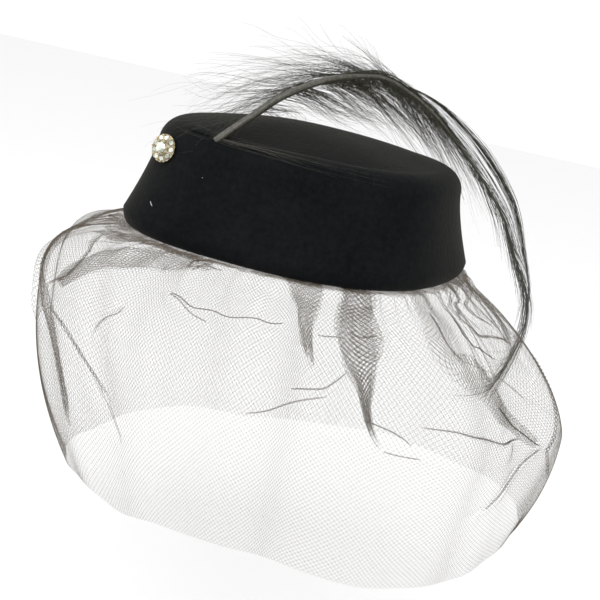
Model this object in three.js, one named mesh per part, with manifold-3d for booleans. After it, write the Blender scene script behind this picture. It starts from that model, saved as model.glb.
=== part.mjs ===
// Pillbox hat of black fur felt with a quill plume, a small stone-set stud and a gathered face net.
// Millimetres, +Z up along the crown's axis, +X towards the back end of the oval,
// origin in the plane of the rim, in the middle of the head opening.
import * as THREE from 'three';
import { mergeVertices } from 'three/addons/utils/BufferGeometryUtils.js';
import Module from 'manifold-3d';

const wasm = await Module();
wasm.setup();

// Crown
const rimLength = 191;
const rimWidth = 175;
const topLength = 169.4;
const topWidth = 145.3;
const crownHeight = 61.3;
const domeRise = 8.1;
const edgeRadius = 13.4;
const rimRollIn = 5;
const rimRollUp = 8;
const feltThickness = 2.6;
const turnedHeight = 12;
const turnedThickness = 6.4;
const turnedBevel = 1;
const ovalPower = 2.5;
const rimFlick = 1.35;
const backLean = 2.7;
const frontRise = 1.9;
const crownColumns = 56;

// Slit for the quill, on the rounded top edge
const slitAngle = 240;
const quillAngle = 248;
const slitUp = 0.58;
const slitLength = 27;
const slitWidth = 1.6;
const lipLow = 0.2;
const lipWidth = 3.2;
const lipRise = 1.5;

// Quill and plume
const plumeRise = 44;
const plumeDrop = 197;
const plumeBack = 132;
const plumeAcross = 206;
const rootDepth = 9;
const vaneWidth = 5.4;
const vaneThickness = 1.9;
const strandOffset = 11;
const lockLength = 80;
const lockWidth = 4.4;
const lockThickness = 1.5;
const lockSides = 5;

// Stud
const studAngle = 226;
const studUp = 0.95;
const studTurn = 24;
const studLift = 1.8;
const studDiameter = 15.6;
const studDepth = 3.2;
const studDome = 1.8;
const centerStone = 6.6;
const ringStone = 3.2;
const ringStones = 9;
const ringInset = 0.35;
const ringTilt = 18;
const prongRadius = 0.42;
const prongSides = 5;
const centerProngs = 6;
const postDiameter = 1.6;
const postLength = 9;

// Net
const veilFlare = 74.5;
const veilDrop = 147;
const veilThickness = 1;
const veilTurn = 25;
const bandHeight = 7;
const bandGap = 0.5;
const rimGap = 0.6;
const gatherCount = 24;
const gatherDepth = 2.6;
const foldDepth = 9;
const veilColumns = 96;

const clearance = 0.3;

const materials = {
  felt: new THREE.MeshStandardMaterial({ color: 0x17191c, roughness: 0.95, metalness: 0 }),
  feather: new THREE.MeshStandardMaterial({ color: 0x2b2920, roughness: 0.55, metalness: 0 }),
  gilt: new THREE.MeshStandardMaterial({ color: 0xa8864a, roughness: 0.35, metalness: 1 }),
  stone: new THREE.MeshStandardMaterial({ color: 0xe9efe6, roughness: 0.05, metalness: 0 }),
  net: new THREE.MeshStandardMaterial({ color: 0x26231f, roughness: 0.6, metalness: 0 }),
};

const radians = THREE.MathUtils.degToRad;
const up = new THREE.Vector3(0, 0, 1);

// A closed solid from rings of points. Rings turn anticlockwise about the way that the rows go.
// The ends are closed by a fan, or with joined set the last ring meets the first.
function solidFromRings(rings, joined = false) {
  const columns = rings[0].length;
  const points = rings.flat();
  const triangles = [];
  const at = (row, column) => row * columns + (column % columns);
  const rows = joined ? rings.length : rings.length - 1;
  for (let row = 0; row < rows; row++) {
    const next = (row + 1) % rings.length;
    for (let column = 0; column < columns; column++) {
      triangles.push(at(row, column), at(row, column + 1), at(next, column + 1));
      triangles.push(at(row, column), at(next, column + 1), at(next, column));
    }
  }
  if (!joined) {
    const last = rings.length - 1;
    for (const row of [0, last]) {
      const middle = new THREE.Vector3();
      rings[row].forEach((point) => middle.add(point));
      points.push(middle.divideScalar(columns));
      for (let column = 0; column < columns; column++) {
        const pair = [at(row, column), at(row, column + 1)];
        triangles.push(points.length - 1, ...(row === last ? pair : pair.reverse()));
      }
    }
  }
  return new wasm.Manifold(new wasm.Mesh({
    numProp: 3,
    vertProperties: new Float32Array(points.flatMap((point) => point.toArray())),
    triVerts: new Uint32Array(triangles),
  }));
}

// A closed solid from one of the three.js geometry classes, put in place by a matrix
function solidFromGeometry(source, matrix) {
  const bare = source.clone().applyMatrix4(matrix);
  bare.deleteAttribute('normal');
  bare.deleteAttribute('uv');
  const merged = mergeVertices(bare, 1e-4);
  return new wasm.Manifold(new wasm.Mesh({
    numProp: 3,
    vertProperties: new Float32Array(merged.attributes.position.array),
    triVerts: new Uint32Array(merged.index.array),
  }));
}

function meshFromSolid(name, solid, material) {
  const { vertProperties, triVerts } = solid.getMesh();
  const geometry = new THREE.BufferGeometry();
  geometry.setAttribute('position', new THREE.BufferAttribute(Float32Array.from(vertProperties), 3));
  geometry.setIndex(new THREE.BufferAttribute(Uint32Array.from(triVerts), 1));
  geometry.computeVertexNormals();
  const mesh = new THREE.Mesh(geometry, material);
  mesh.name = name;
  return mesh;
}

// Smooth step from 0 at the first value to 1 at the second
function smooth(value, from, to) {
  return THREE.MathUtils.smoothstep(value, from, to);
}

// The plan's radius at an angle: a superellipse, between an ellipse and a rounded box
function planRadius(halfLength, halfWidth, angle) {
  const x = Math.abs(Math.cos(angle) / halfLength) ** ovalPower;
  const y = Math.abs(Math.sin(angle) / halfWidth) ** ovalPower;
  return (x + y) ** (-1 / ovalPower);
}

// A point on an oval at a height. The crown leans back as it rises, and its front stands higher.
function crownPoint(halfLength, halfWidth, height, angle) {
  const radius = planRadius(halfLength, halfWidth, angle);
  const rise = height / crownHeight;
  const x = radius * Math.cos(angle) + backLean * rise;
  return new THREE.Vector3(x, radius * Math.sin(angle), height - frontRise * rise * (2 * x / rimLength));
}

// The outer face, up its side for 0 to 1 and round its top edge for 1 to 2,
// or the same face a depth further in
function feltPoint(along, angle, depth = 0) {
  const sideTop = crownHeight - edgeRadius;
  const side = Math.min(along, 1);
  const lean = 1 - (1 - side) ** rimFlick;
  const turn = radians(90) * Math.max(along - 1, 0);
  const inward = edgeRadius * (1 - Math.cos(turn)) + depth * Math.cos(turn);
  const halfLength = THREE.MathUtils.lerp(rimLength, topLength, lean) / 2 - inward;
  const halfWidth = THREE.MathUtils.lerp(rimWidth, topWidth, lean) / 2 - inward;
  const height = THREE.MathUtils.lerp(rimRollUp, sideTop, side) + (edgeRadius - depth) * Math.sin(turn);
  return crownPoint(halfLength, halfWidth, height, angle);
}

// The place, outward normal and level direction of the felt's outer face
function feltFrame(along, degrees) {
  const angle = radians(degrees);
  const step = 0.01;
  const place = feltPoint(along, angle);
  const level = feltPoint(along, angle + step).sub(feltPoint(along, angle - step)).normalize();
  const rising = feltPoint(along + step, angle).sub(feltPoint(along - step, angle)).normalize();
  return { place, level, rising, normal: level.clone().cross(rising).normalize() };
}

function crownRing(makePoint) {
  const turn = radians(360) / crownColumns;
  return Array.from({ length: crownColumns }, (_, column) => makePoint(turn * column));
}

// The felt: down its inner face from the middle of the top, round the rim, and up its outer face
function crownShell() {
  const rings = [];
  const domeRing = (share, depth) => crownRing((angle) => crownPoint(
    (topLength / 2 - edgeRadius) * share,
    (topWidth / 2 - edgeRadius) * share,
    crownHeight + domeRise * (1 - share * share) - depth,
    angle,
  ));
  for (const share of [0.12, 0.55]) {
    rings.push(domeRing(share, feltThickness));
  }
  for (const along of [2, 1.5, 1, 0.6, 0.3]) {
    rings.push(crownRing((angle) => feltPoint(along, angle, feltThickness)));
  }
  const inner = (inset, height) => crownRing(
    (angle) => crownPoint(rimLength / 2 - inset, rimWidth / 2 - inset, height, angle),
  );
  rings.push(inner(feltThickness + turnedBevel, turnedHeight));
  rings.push(inner(turnedThickness, turnedHeight - turnedBevel));
  rings.push(inner(turnedThickness, turnedBevel));
  rings.push(inner(rimRollIn, 0));
  for (const degrees of [30, 60]) {
    const turn = radians(degrees);
    rings.push(inner(rimRollIn * (1 - Math.sin(turn)), rimRollUp * (1 - Math.cos(turn))));
  }
  for (const along of [0, 0.25, 0.5, 0.75, 1, 1.33, 1.67, 2]) {
    rings.push(crownRing((angle) => feltPoint(along, angle)));
  }
  for (const share of [0.7, 0.4, 0.12]) {
    rings.push(domeRing(share, 0));
  }
  return solidFromRings(rings);
}

// Everything inside the crown's outer face, grown by a clearance, to seat trim on it
function crownBlank(growth) {
  const rings = [];
  for (const along of [0, 0.25, 0.5, 0.75, 1, 1.33, 1.67, 2]) {
    rings.push(crownRing((angle) => feltPoint(along, angle, -growth)));
  }
  return solidFromRings(rings);
}

const slit = feltFrame(1 + slitUp, slitAngle);
const exit = feltFrame(1 + slitUp, quillAngle);
const stud = feltFrame(studUp, studAngle);

// The quill's route after its slit: x and y as shares of plumeBack and plumeAcross from the slit,
// rise as a share of plumeRise, and fall as a share of plumeDrop below the top of the arch.
// wide and deep are the half widths of the shaft with its tight vane, as shares of vaneWidth
// and vaneThickness.
const route = [
  { x: 0.000, y: 0.000, rise: 0.000, fall: 0.000, wide: 0.39, deep: 1.10 },
  { x: 0.082, y: 0.059, rise: 0.315, fall: 0.000, wide: 0.39, deep: 1.10 },
  { x: 0.155, y: 0.113, rise: 0.592, fall: 0.000, wide: 0.41, deep: 1.05 },
  { x: 0.220, y: 0.164, rise: 0.765, fall: 0.000, wide: 0.48, deep: 1.00 },
  { x: 0.295, y: 0.224, rise: 0.915, fall: 0.000, wide: 0.74, deep: 0.85 },
  { x: 0.361, y: 0.287, rise: 0.985, fall: 0.000, wide: 0.95, deep: 0.85 },
  { x: 0.433, y: 0.357, rise: 1.000, fall: 0.000, wide: 1.00, deep: 0.90 },
  { x: 0.509, y: 0.433, rise: 1.000, fall: 0.031, wide: 0.90, deep: 0.95 },
  { x: 0.598, y: 0.513, rise: 1.000, fall: 0.088, wide: 0.78, deep: 1.00 },
  { x: 0.670, y: 0.572, rise: 1.000, fall: 0.149, wide: 0.70, deep: 1.00 },
  { x: 0.747, y: 0.633, rise: 1.000, fall: 0.219, wide: 0.68, deep: 1.00 },
  { x: 0.828, y: 0.694, rise: 1.000, fall: 0.303, wide: 0.70, deep: 1.05 },
  { x: 0.880, y: 0.742, rise: 1.000, fall: 0.370, wide: 0.72, deep: 1.10 },
  { x: 0.931, y: 0.811, rise: 1.000, fall: 0.482, wide: 0.66, deep: 1.10 },
  { x: 0.995, y: 0.894, rise: 1.000, fall: 0.620, wide: 0.62, deep: 1.00 },
  { x: 1.000, y: 0.928, rise: 1.000, fall: 0.693, wide: 0.66, deep: 1.00 },
  { x: 0.979, y: 0.959, rise: 1.000, fall: 0.775, wide: 0.62, deep: 0.90 },
  { x: 0.899, y: 0.994, rise: 1.000, fall: 0.924, wide: 0.40, deep: 0.60 },
  { x: 0.847, y: 1.000, rise: 1.000, fall: 1.000, wide: 0.14, deep: 0.35 },
];

function quillCurve() {
  const root = exit.place.clone().addScaledVector(exit.normal, -rootDepth);
  root.x -= rootDepth;
  const rest = route.map((row) => new THREE.Vector3(
    exit.place.x + row.x * plumeBack,
    exit.place.y + row.y * plumeAcross,
    exit.place.z + row.rise * plumeRise - row.fall * plumeDrop,
  ));
  return new THREE.CatmullRomCurve3([root, ...rest], false, 'centripetal');
}

const quill = quillCurve();

// Place and frame at a share of the quill: ahead along it, outer away from the arch's hollow, side across
function quillFrame(share) {
  const place = quill.getPointAt(share);
  const ahead = quill.getTangentAt(share);
  const chord = quill.getPointAt(1).sub(exit.place);
  const flank = chord.clone().cross(up).normalize();
  const outer = flank.clone().cross(ahead).normalize();
  return { place, ahead, outer, side: ahead.clone().cross(outer) };
}

function ovalRing(center, wideAxis, deepAxis, halfWide, halfDeep, sides) {
  return Array.from({ length: sides }, (_, index) => {
    const turn = radians(360) * index / sides;
    return center.clone()
      .addScaledVector(wideAxis, halfWide * Math.cos(turn))
      .addScaledVector(deepAxis, halfDeep * Math.sin(turn));
  });
}

// The shaft and the vane that lies tight along it, an oval section carried along the route
function shaftSolid(growth = 0) {
  const steps = 34;
  const rings = [];
  for (let step = 0; step <= steps; step++) {
    const share = step / steps;
    const { place, outer, side } = quillFrame(share);
    const row = Math.max(quill.getUtoTmapping(share) * route.length - 1, 0);
    const from = route[Math.min(Math.floor(row), route.length - 1)];
    const to = route[Math.min(Math.floor(row) + 1, route.length - 1)];
    const wide = THREE.MathUtils.lerp(from.wide, to.wide, row % 1) * vaneWidth;
    const deep = THREE.MathUtils.lerp(from.deep, to.deep, row % 1) * vaneThickness;
    rings.push(ovalRing(place, outer, side, wide + growth, deep + growth, 8));
  }
  return solidFromRings(rings);
}

// A lock of barbs: it leaves the shaft along a direction, droops as the square of its length,
// is fullest a third of the way along and thins to its tip
function lockSolid(share, sweep, spread, length, droop, width) {
  const { place, ahead, outer, side } = quillFrame(share);
  const turn = radians(sweep);
  const away = outer.clone().multiplyScalar(Math.cos(radians(spread)))
    .addScaledVector(side, Math.sin(radians(spread)));
  const direction = ahead.clone().multiplyScalar(Math.cos(turn)).addScaledVector(away, Math.sin(turn));
  const steps = 5;
  const rings = [];
  for (let step = 0; step <= steps; step++) {
    const part = step / steps;
    const center = place.clone()
      .addScaledVector(direction, length * part)
      .addScaledVector(up, -length * droop * part * part);
    const along = direction.clone().addScaledVector(up, -2 * droop * part).normalize();
    const broad = up.clone().addScaledVector(along, -along.z).normalize();
    const thin = along.clone().cross(broad);
    const swell = (0.35 + 0.65 * Math.sin(Math.PI * (0.12 + 0.8 * part))) * (1 - 0.45 * part);
    rings.push(ovalRing(center, broad, thin, width * swell / 2, lockThickness * swell / 2, lockSides));
  }
  return solidFromRings(rings);
}

// Locks by where they leave the shaft: sweep and spread in degrees from its way and across it,
// length and width as shares of lockLength and lockWidth, and how far the lock droops
const locks = [
  { share: 0.240, sweep: 136, spread: -92, length: 1.36, droop: 0.12, width: 0.70 },
  { share: 0.255, sweep: 149, spread: -87, length: 1.20, droop: 0.16, width: 0.90 },
  { share: 0.270, sweep: 132, spread: -86, length: 1.16, droop: 0.16, width: 1.10 },
  { share: 0.285, sweep: 143, spread: -78, length: 1.02, droop: 0.18, width: 1.20 },
  { share: 0.300, sweep: 134, spread: -73, length: 1.02, droop: 0.20, width: 1.40 },
  { share: 0.315, sweep: 151, spread: -72, length: 0.84, droop: 0.12, width: 1.40 },
  { share: 0.330, sweep: 142, spread: -76, length: 0.72, droop: 0.08, width: 1.30 },
  { share: 0.350, sweep: 159, spread: -75, length: 0.56, droop: 0.04, width: 1.10 },
  { share: 0.130, sweep: -43, spread: -6, length: 0.55, droop: 0.03, width: 0.80 },
  { share: 0.155, sweep: -43, spread: -26, length: 0.68, droop: 0.05, width: 1.00 },
  { share: 0.180, sweep: -41, spread: -9, length: 0.82, droop: 0.06, width: 1.10 },
  { share: 0.205, sweep: -42, spread: -26, length: 0.85, droop: 0.08, width: 1.20 },
  { share: 0.230, sweep: -37, spread: -14, length: 0.92, droop: 0.10, width: 1.30 },
  { share: 0.255, sweep: -34, spread: -20, length: 0.98, droop: 0.12, width: 1.30 },
  { share: 0.280, sweep: -34, spread: -11, length: 0.94, droop: 0.13, width: 1.20 },
  { share: 0.310, sweep: -30, spread: -22, length: 0.92, droop: 0.14, width: 1.10 },
  { share: 0.345, sweep: -14, spread: -14, length: 0.98, droop: 0.13, width: 1.00 },
];

// The loose strand that arches outside the vane and comes back to it
function strandSolid() {
  const from = 0.34;
  const to = 0.8;
  const steps = 16;
  const rings = [];
  for (let step = 0; step <= steps; step++) {
    const part = step / steps;
    const { place, outer, side } = quillFrame(THREE.MathUtils.lerp(from, to, part));
    const center = place.addScaledVector(outer, strandOffset * Math.sin(Math.PI * part) ** 0.7);
    const half = 0.8 + 0.9 * Math.sin(Math.PI * part);
    rings.push(ovalRing(center, outer, side, half, 0.8, 6));
  }
  return solidFromRings(rings);
}

function plumeSolid() {
  let solid = shaftSolid().add(strandSolid());
  for (const row of locks) {
    const length = row.length * lockLength;
    const width = row.width * lockWidth;
    solid = solid.add(lockSolid(row.share, row.sweep, row.spread, length, row.droop, width));
  }
  return solid;
}

// A frame with its Z along a direction and its X level
function frameAlong(place, direction) {
  const level = up.clone().cross(direction).normalize();
  const other = direction.clone().cross(level);
  return new THREE.Matrix4().makeBasis(level, other, direction).setPosition(place);
}

// The stud looks a little further round to the near side than the felt behind it
const studAxis = stud.normal.clone().applyAxisAngle(up, radians(studTurn)).normalize();
const studMiddle = stud.place.clone().addScaledVector(studAxis, studDepth / 2 + studLift);
const studFrame = frameAlong(studMiddle, studAxis);

function inStud(x, y, z) {
  return studFrame.clone().multiply(new THREE.Matrix4().makeTranslation(x, y, z));
}

// A turned solid about the stud's axis, from closed profile points of radius and height
function turned(profile, matrix, sides) {
  const points = profile.map(([radius, height]) => new THREE.Vector2(radius, height));
  const lathe = new THREE.LatheGeometry(points, sides);
  lathe.rotateX(Math.PI / 2);
  return solidFromGeometry(lathe, matrix);
}

const ringRadius = (studDiameter - ringStone) / 2 - ringInset;
const centerSeat = studDepth / 2 + studDome;
const ringSeat = studDepth / 2;

// Each place in the ring, tilted outwards as on a dome
function ringPlace(index, radius, height) {
  const turn = radians(360) * index / ringStones;
  const tilt = new THREE.Matrix4().makeRotationY(radians(ringTilt));
  return studFrame.clone()
    .multiply(new THREE.Matrix4().makeRotationZ(turn))
    .multiply(new THREE.Matrix4().makeTranslation(radius, 0, height))
    .multiply(tilt);
}

// A brilliant: a flat table, sloping crown facets, a thin girdle and a pavilion to a small culet
function stoneSolid(diameter, matrix, growth = 0) {
  const radius = diameter / 2 + growth;
  const profile = [
    [0, -0.42 * diameter - growth],
    [0.12 * radius, -0.42 * diameter - growth],
    [radius, -0.04 * diameter],
    [radius, 0.04 * diameter],
    [0.62 * radius, 0.2 * diameter + growth],
    [0, 0.2 * diameter + growth],
  ];
  return turned(profile, matrix, 8);
}

const centerMatrix = inStud(0, 0, centerSeat);

// A short round prong that stands in the cup and closes over the edge of a stone
function prongSolid(radius, matrix) {
  return turned([[0, -3 * radius], [radius, -3 * radius], [radius, radius], [0.4 * radius, 1.6 * radius],
    [0, 1.6 * radius]], matrix, prongSides);
}

function settingSolid(wall) {
  const back = -studDepth / 2 - studDiameter * 0.5;
  const half = studDiameter / 2;
  const cup = turned([
    [0, back],
    [half * 0.8, back],
    [half * 0.86, 0],
    [half, 0.2],
    [half, ringSeat - 0.5],
    [half * 0.6, ringSeat + 0.5],
    [centerStone / 2 + 0.5, centerSeat - 0.1],
    [0, centerSeat - 0.1],
  ], inStud(0, 0, 0), 18);
  let solid = cup;
  for (let index = 0; index < ringStones; index++) {
    const reach = ringRadius + ringStone * 0.42;
    solid = solid.add(prongSolid(prongRadius, ringPlace(index + 0.5, reach, ringSeat)));
  }
  for (let index = 0; index < centerProngs; index++) {
    const turn = radians(360) * index / centerProngs;
    const reach = centerStone / 2 + clearance;
    const place = inStud(reach * Math.cos(turn), reach * Math.sin(turn), centerSeat);
    solid = solid.add(prongSolid(prongRadius * 1.2, place));
  }
  solid = solid.subtract(wall);
  const post = turned([
    [0, -postLength - studDepth / 2],
    [postDiameter / 2, -postLength - studDepth / 2],
    [postDiameter / 2, 0],
    [0, 0],
  ], inStud(0, 0, 0), 10);
  solid = solid.add(post);
  solid = solid.subtract(stoneSolid(centerStone, centerMatrix, clearance));
  for (let index = 0; index < ringStones; index++) {
    solid = solid.subtract(stoneSolid(ringStone, ringPlace(index, ringRadius, ringSeat), clearance));
  }
  return solid;
}

// The crown with its slit, the lip below the slit, and the hole for the stud's post
function crownSolid() {
  const box = new THREE.BoxGeometry(slitLength, slitWidth, feltThickness * 5);
  const slitFrame = new THREE.Matrix4().makeBasis(slit.level, slit.rising, slit.normal);
  slitFrame.setPosition(slit.place);
  const slitTurn = THREE.MathUtils.radToDeg(slitLength / Math.hypot(slit.place.x, slit.place.y));
  const lipCurve = [-0.5, -0.25, 0, 0.25, 0.5].map((share) => {
    const middle = feltFrame(1 + slitUp - lipLow, slitAngle + share * slitTurn);
    return { middle, swell: Math.cos(Math.PI * share * 0.92) };
  });
  const lip = solidFromRings(lipCurve.map(({ middle, swell }) => ovalRing(
    middle.place, middle.rising, middle.normal.clone().negate(),
    lipWidth * (0.3 + 0.7 * swell) / 2, lipRise * (0.2 + 0.8 * swell), 8,
  )).reverse());
  const hole = turned([
    [0, -postLength * 2],
    [postDiameter / 2 + clearance, -postLength * 2],
    [postDiameter / 2 + clearance, postLength],
    [0, postLength],
  ], inStud(0, 0, 0), 10);
  return crownShell()
    .add(lip)
    .subtract(solidFromGeometry(box, slitFrame))
    .subtract(shaftSolid(clearance))
    .subtract(hole);
}

// How the net hangs, by the angle round from veilTurn: how far it stands out past the rim at its
// widest and at the hem, as shares of veilFlare, how low both are, as shares of veilDrop,
// and how full the shoulder is between the rim and the widest place
const hang = [
  { stand: 1.00, hemStand: 0.80, widest: 0.54, drop: 0.92, full: 1.4 },
  { stand: 0.66, hemStand: 0.55, widest: 0.49, drop: 0.92, full: 1.6 },
  { stand: 0.35, hemStand: 0.18, widest: 0.41, drop: 0.94, full: 2.0 },
  { stand: 0.40, hemStand: 0.10, widest: 0.34, drop: 0.94, full: 2.3 },
  { stand: 0.56, hemStand: 0.15, widest: 0.27, drop: 0.95, full: 3.0 },
  { stand: 0.50, hemStand: 0.20, widest: 0.34, drop: 0.98, full: 2.4 },
  { stand: 0.38, hemStand: 0.27, widest: 0.44, drop: 0.98, full: 2.0 },
  { stand: 0.72, hemStand: 0.64, widest: 0.54, drop: 1.00, full: 1.6 },
];

// The main folds of the net: angle and half width in degrees, depth as a share of foldDepth,
// and how far down it fades, as a share of the net's length
const folds = [
  { angle: 301, width: 7, depth: -0.8, fade: 0.75 },
  { angle: 318, width: 9, depth: -1.0, fade: 0.95 },
  { angle: 340, width: 8, depth: 0.7, fade: 0.80 },
  { angle: 2, width: 8, depth: -0.9, fade: 0.90 },
  { angle: 40, width: 9, depth: -0.8, fade: 0.90 },
  { angle: 80, width: 8, depth: 0.6, fade: 0.70 },
  { angle: 120, width: 10, depth: -0.8, fade: 0.85 },
  { angle: 165, width: 9, depth: -0.7, fade: 0.80 },
  { angle: 205, width: 8, depth: -0.8, fade: 0.90 },
  { angle: 228, width: 8, depth: 0.6, fade: 0.65 },
  { angle: 262, width: 9, depth: -0.5, fade: 0.60 },
];

// A column of the hang table at an angle, as a smooth curve through its rows
function hangAt(column, angle) {
  const count = hang.length;
  const turn = ((angle - radians(veilTurn)) / radians(360)) * count;
  const row = Math.floor(turn);
  const value = (step) => hang[(row + step + 2 * count) % count][column];
  const [before, from, to, after] = [-1, 0, 1, 2].map(value);
  const part = turn - row;
  const slope = (to - before) / 2;
  const endSlope = (after - from) / 2;
  const cubic = 2 * (from - to) + slope + endSlope;
  const square = 3 * (to - from) - 2 * slope - endSlope;
  return ((cubic * part + square) * part + slope) * part + from;
}

// The middle of the net's thickness, from the top of its band at 0 to the hem at 1
function netMiddle(share, angle) {
  const inset = turnedThickness + bandGap + veilThickness / 2;
  const start = planRadius(rimLength / 2 - inset, rimWidth / 2 - inset, angle);
  const rim = planRadius(rimLength / 2, rimWidth / 2, angle);
  const under = -rimGap - veilThickness / 2;
  const bandShare = 0.08;
  if (share <= bandShare) {
    return { radius: start, height: THREE.MathUtils.lerp(bandHeight, under, share / bandShare) };
  }
  const widestRadius = rim + veilFlare * hangAt('stand', angle);
  const hemRadius = rim + veilFlare * hangAt('hemStand', angle);
  const widestHeight = -veilDrop * hangAt('widest', angle);
  const hemHeight = -veilDrop * hangAt('drop', angle);
  const shoulderShare = 0.55;
  if (share <= shoulderShare) {
    const turn = radians(90) * (share - bandShare) / (shoulderShare - bandShare);
    const power = 2 / hangAt('full', angle);
    return {
      radius: start + (widestRadius - start) * Math.sin(turn) ** power,
      height: widestHeight + (under - widestHeight) * Math.cos(turn) ** power,
    };
  }
  const low = (share - shoulderShare) / (1 - shoulderShare);
  return {
    radius: THREE.MathUtils.lerp(widestRadius, hemRadius, low * low),
    height: THREE.MathUtils.lerp(widestHeight, hemHeight, low),
  };
}

// Gathers stand out just past the rim and fade down the net, and the main folds run further
function netRelief(share, angle, radius) {
  const rim = planRadius(rimLength / 2, rimWidth / 2, angle);
  const clear = smooth(radius - rim, 2, 16);
  const gathers = gatherDepth * Math.cos(gatherCount * angle) * (1 - 0.75 * smooth(share, 0.2, 0.9));
  let relief = gathers;
  for (const fold of folds) {
    const around = angle - radians(fold.angle) + Math.PI;
    const away = (THREE.MathUtils.euclideanModulo(around, radians(360)) - Math.PI) / radians(fold.width);
    const fade = 1 - smooth(share, fold.fade * 0.5, fold.fade);
    relief += foldDepth * fold.depth * Math.exp(-away * away) * fade;
  }
  return clear * relief;
}

function netPoint(share, angle) {
  const { radius, height } = netMiddle(share, angle);
  const full = radius + netRelief(share, angle, radius);
  const lean = backLean * Math.max(height, 0) / crownHeight;
  return new THREE.Vector3(full * Math.cos(angle) + lean, full * Math.sin(angle), height);
}

// The net as a thin wall: up its outer face from the hem, and down its inner face
function veilSolid() {
  const shares = [0, 0.08, 0.15, 0.24, 0.34, 0.44, 0.55, 0.7, 0.85, 1];
  const step = 0.004;
  const facing = (share, angle) => {
    const low = Math.min(share + step, 1);
    const high = Math.max(share - step, 0);
    const rising = netPoint(high, angle).sub(netPoint(low, angle));
    const round = netPoint(share, angle + step).sub(netPoint(share, angle - step));
    return round.cross(rising).normalize();
  };
  const ring = (share, side) => Array.from({ length: veilColumns }, (_, column) => {
    const angle = radians(360) * column / veilColumns;
    return netPoint(share, angle).addScaledVector(facing(share, angle), side * veilThickness / 2);
  });
  const outer = shares.map((share) => ring(share, 1)).reverse();
  const inner = shares.map((share) => ring(share, -1));
  return solidFromRings([...outer, ...inner], true);
}

const group = new THREE.Group();
group.add(meshFromSolid('crown', crownSolid(), materials.felt));
group.add(meshFromSolid('plume', plumeSolid(), materials.feather));
group.add(meshFromSolid('stud_setting', settingSolid(crownBlank(clearance)), materials.gilt));
group.add(meshFromSolid('stud_stone_center', stoneSolid(centerStone, centerMatrix), materials.stone));
for (let index = 0; index < ringStones; index++) {
  const stone = stoneSolid(ringStone, ringPlace(index, ringRadius, ringSeat));
  group.add(meshFromSolid(`stud_stone_${index + 1}`, stone, materials.stone));
}
group.add(meshFromSolid('veil', veilSolid(), materials.net));

export default group;
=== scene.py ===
import bpy
import numpy as np
from mathutils import Matrix


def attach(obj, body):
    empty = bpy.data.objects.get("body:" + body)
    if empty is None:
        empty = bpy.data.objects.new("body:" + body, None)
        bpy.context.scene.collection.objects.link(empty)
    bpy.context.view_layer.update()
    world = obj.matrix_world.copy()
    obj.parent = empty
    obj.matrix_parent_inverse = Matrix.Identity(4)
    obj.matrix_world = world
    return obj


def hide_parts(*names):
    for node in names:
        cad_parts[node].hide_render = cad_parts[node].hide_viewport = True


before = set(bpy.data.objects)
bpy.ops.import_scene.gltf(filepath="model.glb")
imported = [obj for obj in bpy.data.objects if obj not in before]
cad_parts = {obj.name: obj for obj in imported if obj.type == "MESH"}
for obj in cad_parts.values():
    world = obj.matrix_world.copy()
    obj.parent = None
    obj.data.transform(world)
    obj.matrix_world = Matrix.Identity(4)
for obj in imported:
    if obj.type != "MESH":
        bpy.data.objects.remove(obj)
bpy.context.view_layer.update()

# Pillbox hat of black fur felt with a quill plume, a stone-set stud and a gathered net veil.
# Shapes are worked out in millimetres in the hat's own frame and put into the meshes in metres.

mm = 0.001
rng = np.random.default_rng(11)

# Small helpers

def addMesh(name, points, faceSets, material, smooth=True):
    # points: rows of x, y, z in mm; faceSets: arrays of triangles or quads that index them
    mesh = bpy.data.meshes.new(name)
    loops = np.concatenate([f.ravel() for f in faceSets]).astype(np.int32)
    sizes = np.concatenate([np.full(len(f), f.shape[1], np.int32) for f in faceSets])
    starts = np.concatenate([[0], np.cumsum(sizes)[:-1]]).astype(np.int32)
    mesh.vertices.add(len(points))
    mesh.vertices.foreach_set("co", (np.asarray(points) * mm).astype(np.float32).ravel())
    mesh.loops.add(len(loops))
    mesh.loops.foreach_set("vertex_index", loops)
    mesh.polygons.add(len(sizes))
    mesh.polygons.foreach_set("loop_start", starts)
    mesh.polygons.foreach_set("loop_total", sizes)
    mesh.polygons.foreach_set("use_smooth", np.full(len(sizes), smooth))
    mesh.materials.append(material)
    mesh.update(calc_edges=True)
    piece = bpy.data.objects.new(name, mesh)
    bpy.context.scene.collection.objects.link(piece)
    return piece


def gridFaces(rows, columns):
    # quads of a grid of rows x columns whose last column meets the first: (row, column), (row, next column),
    # (next row, next column), (next row, column)
    row, column = np.meshgrid(np.arange(rows - 1), np.arange(columns), indexing="ij")
    nextColumn = (column + 1) % columns
    corners = [row * columns + column, row * columns + nextColumn,
               (row + 1) * columns + nextColumn, (row + 1) * columns + column]
    return np.stack([c.ravel() for c in corners], 1)


def smoothStep(value, start, end):
    # 0 before start, 1 after end, and between them 3 t^2 - 2 t^3
    part = np.clip((value - start) / (end - start), 0, 1)
    return part * part * (3 - 2 * part)


def unit(vectors):
    # each vector divided by its own length
    return vectors / np.maximum(np.linalg.norm(vectors, axis=-1, keepdims=True), 1e-9)


def newMaterial(name):
    # a material, the nodes and links of its tree, and its shader
    material = bpy.data.materials.new(name)
    material.use_nodes = True
    tree = material.node_tree
    return material, tree.nodes, tree.links, tree.nodes["Principled BSDF"]


def noiseNode(nodes, links, vector, scale, detail, roughness):
    # cloudy noise over the vector; scale: clouds in a metre
    noise = nodes.new("ShaderNodeTexNoise")
    noise.inputs["Scale"].default_value = scale
    noise.inputs["Detail"].default_value = detail
    noise.inputs["Roughness"].default_value = roughness
    links.new(vector, noise.inputs["Vector"])
    return noise


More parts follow.
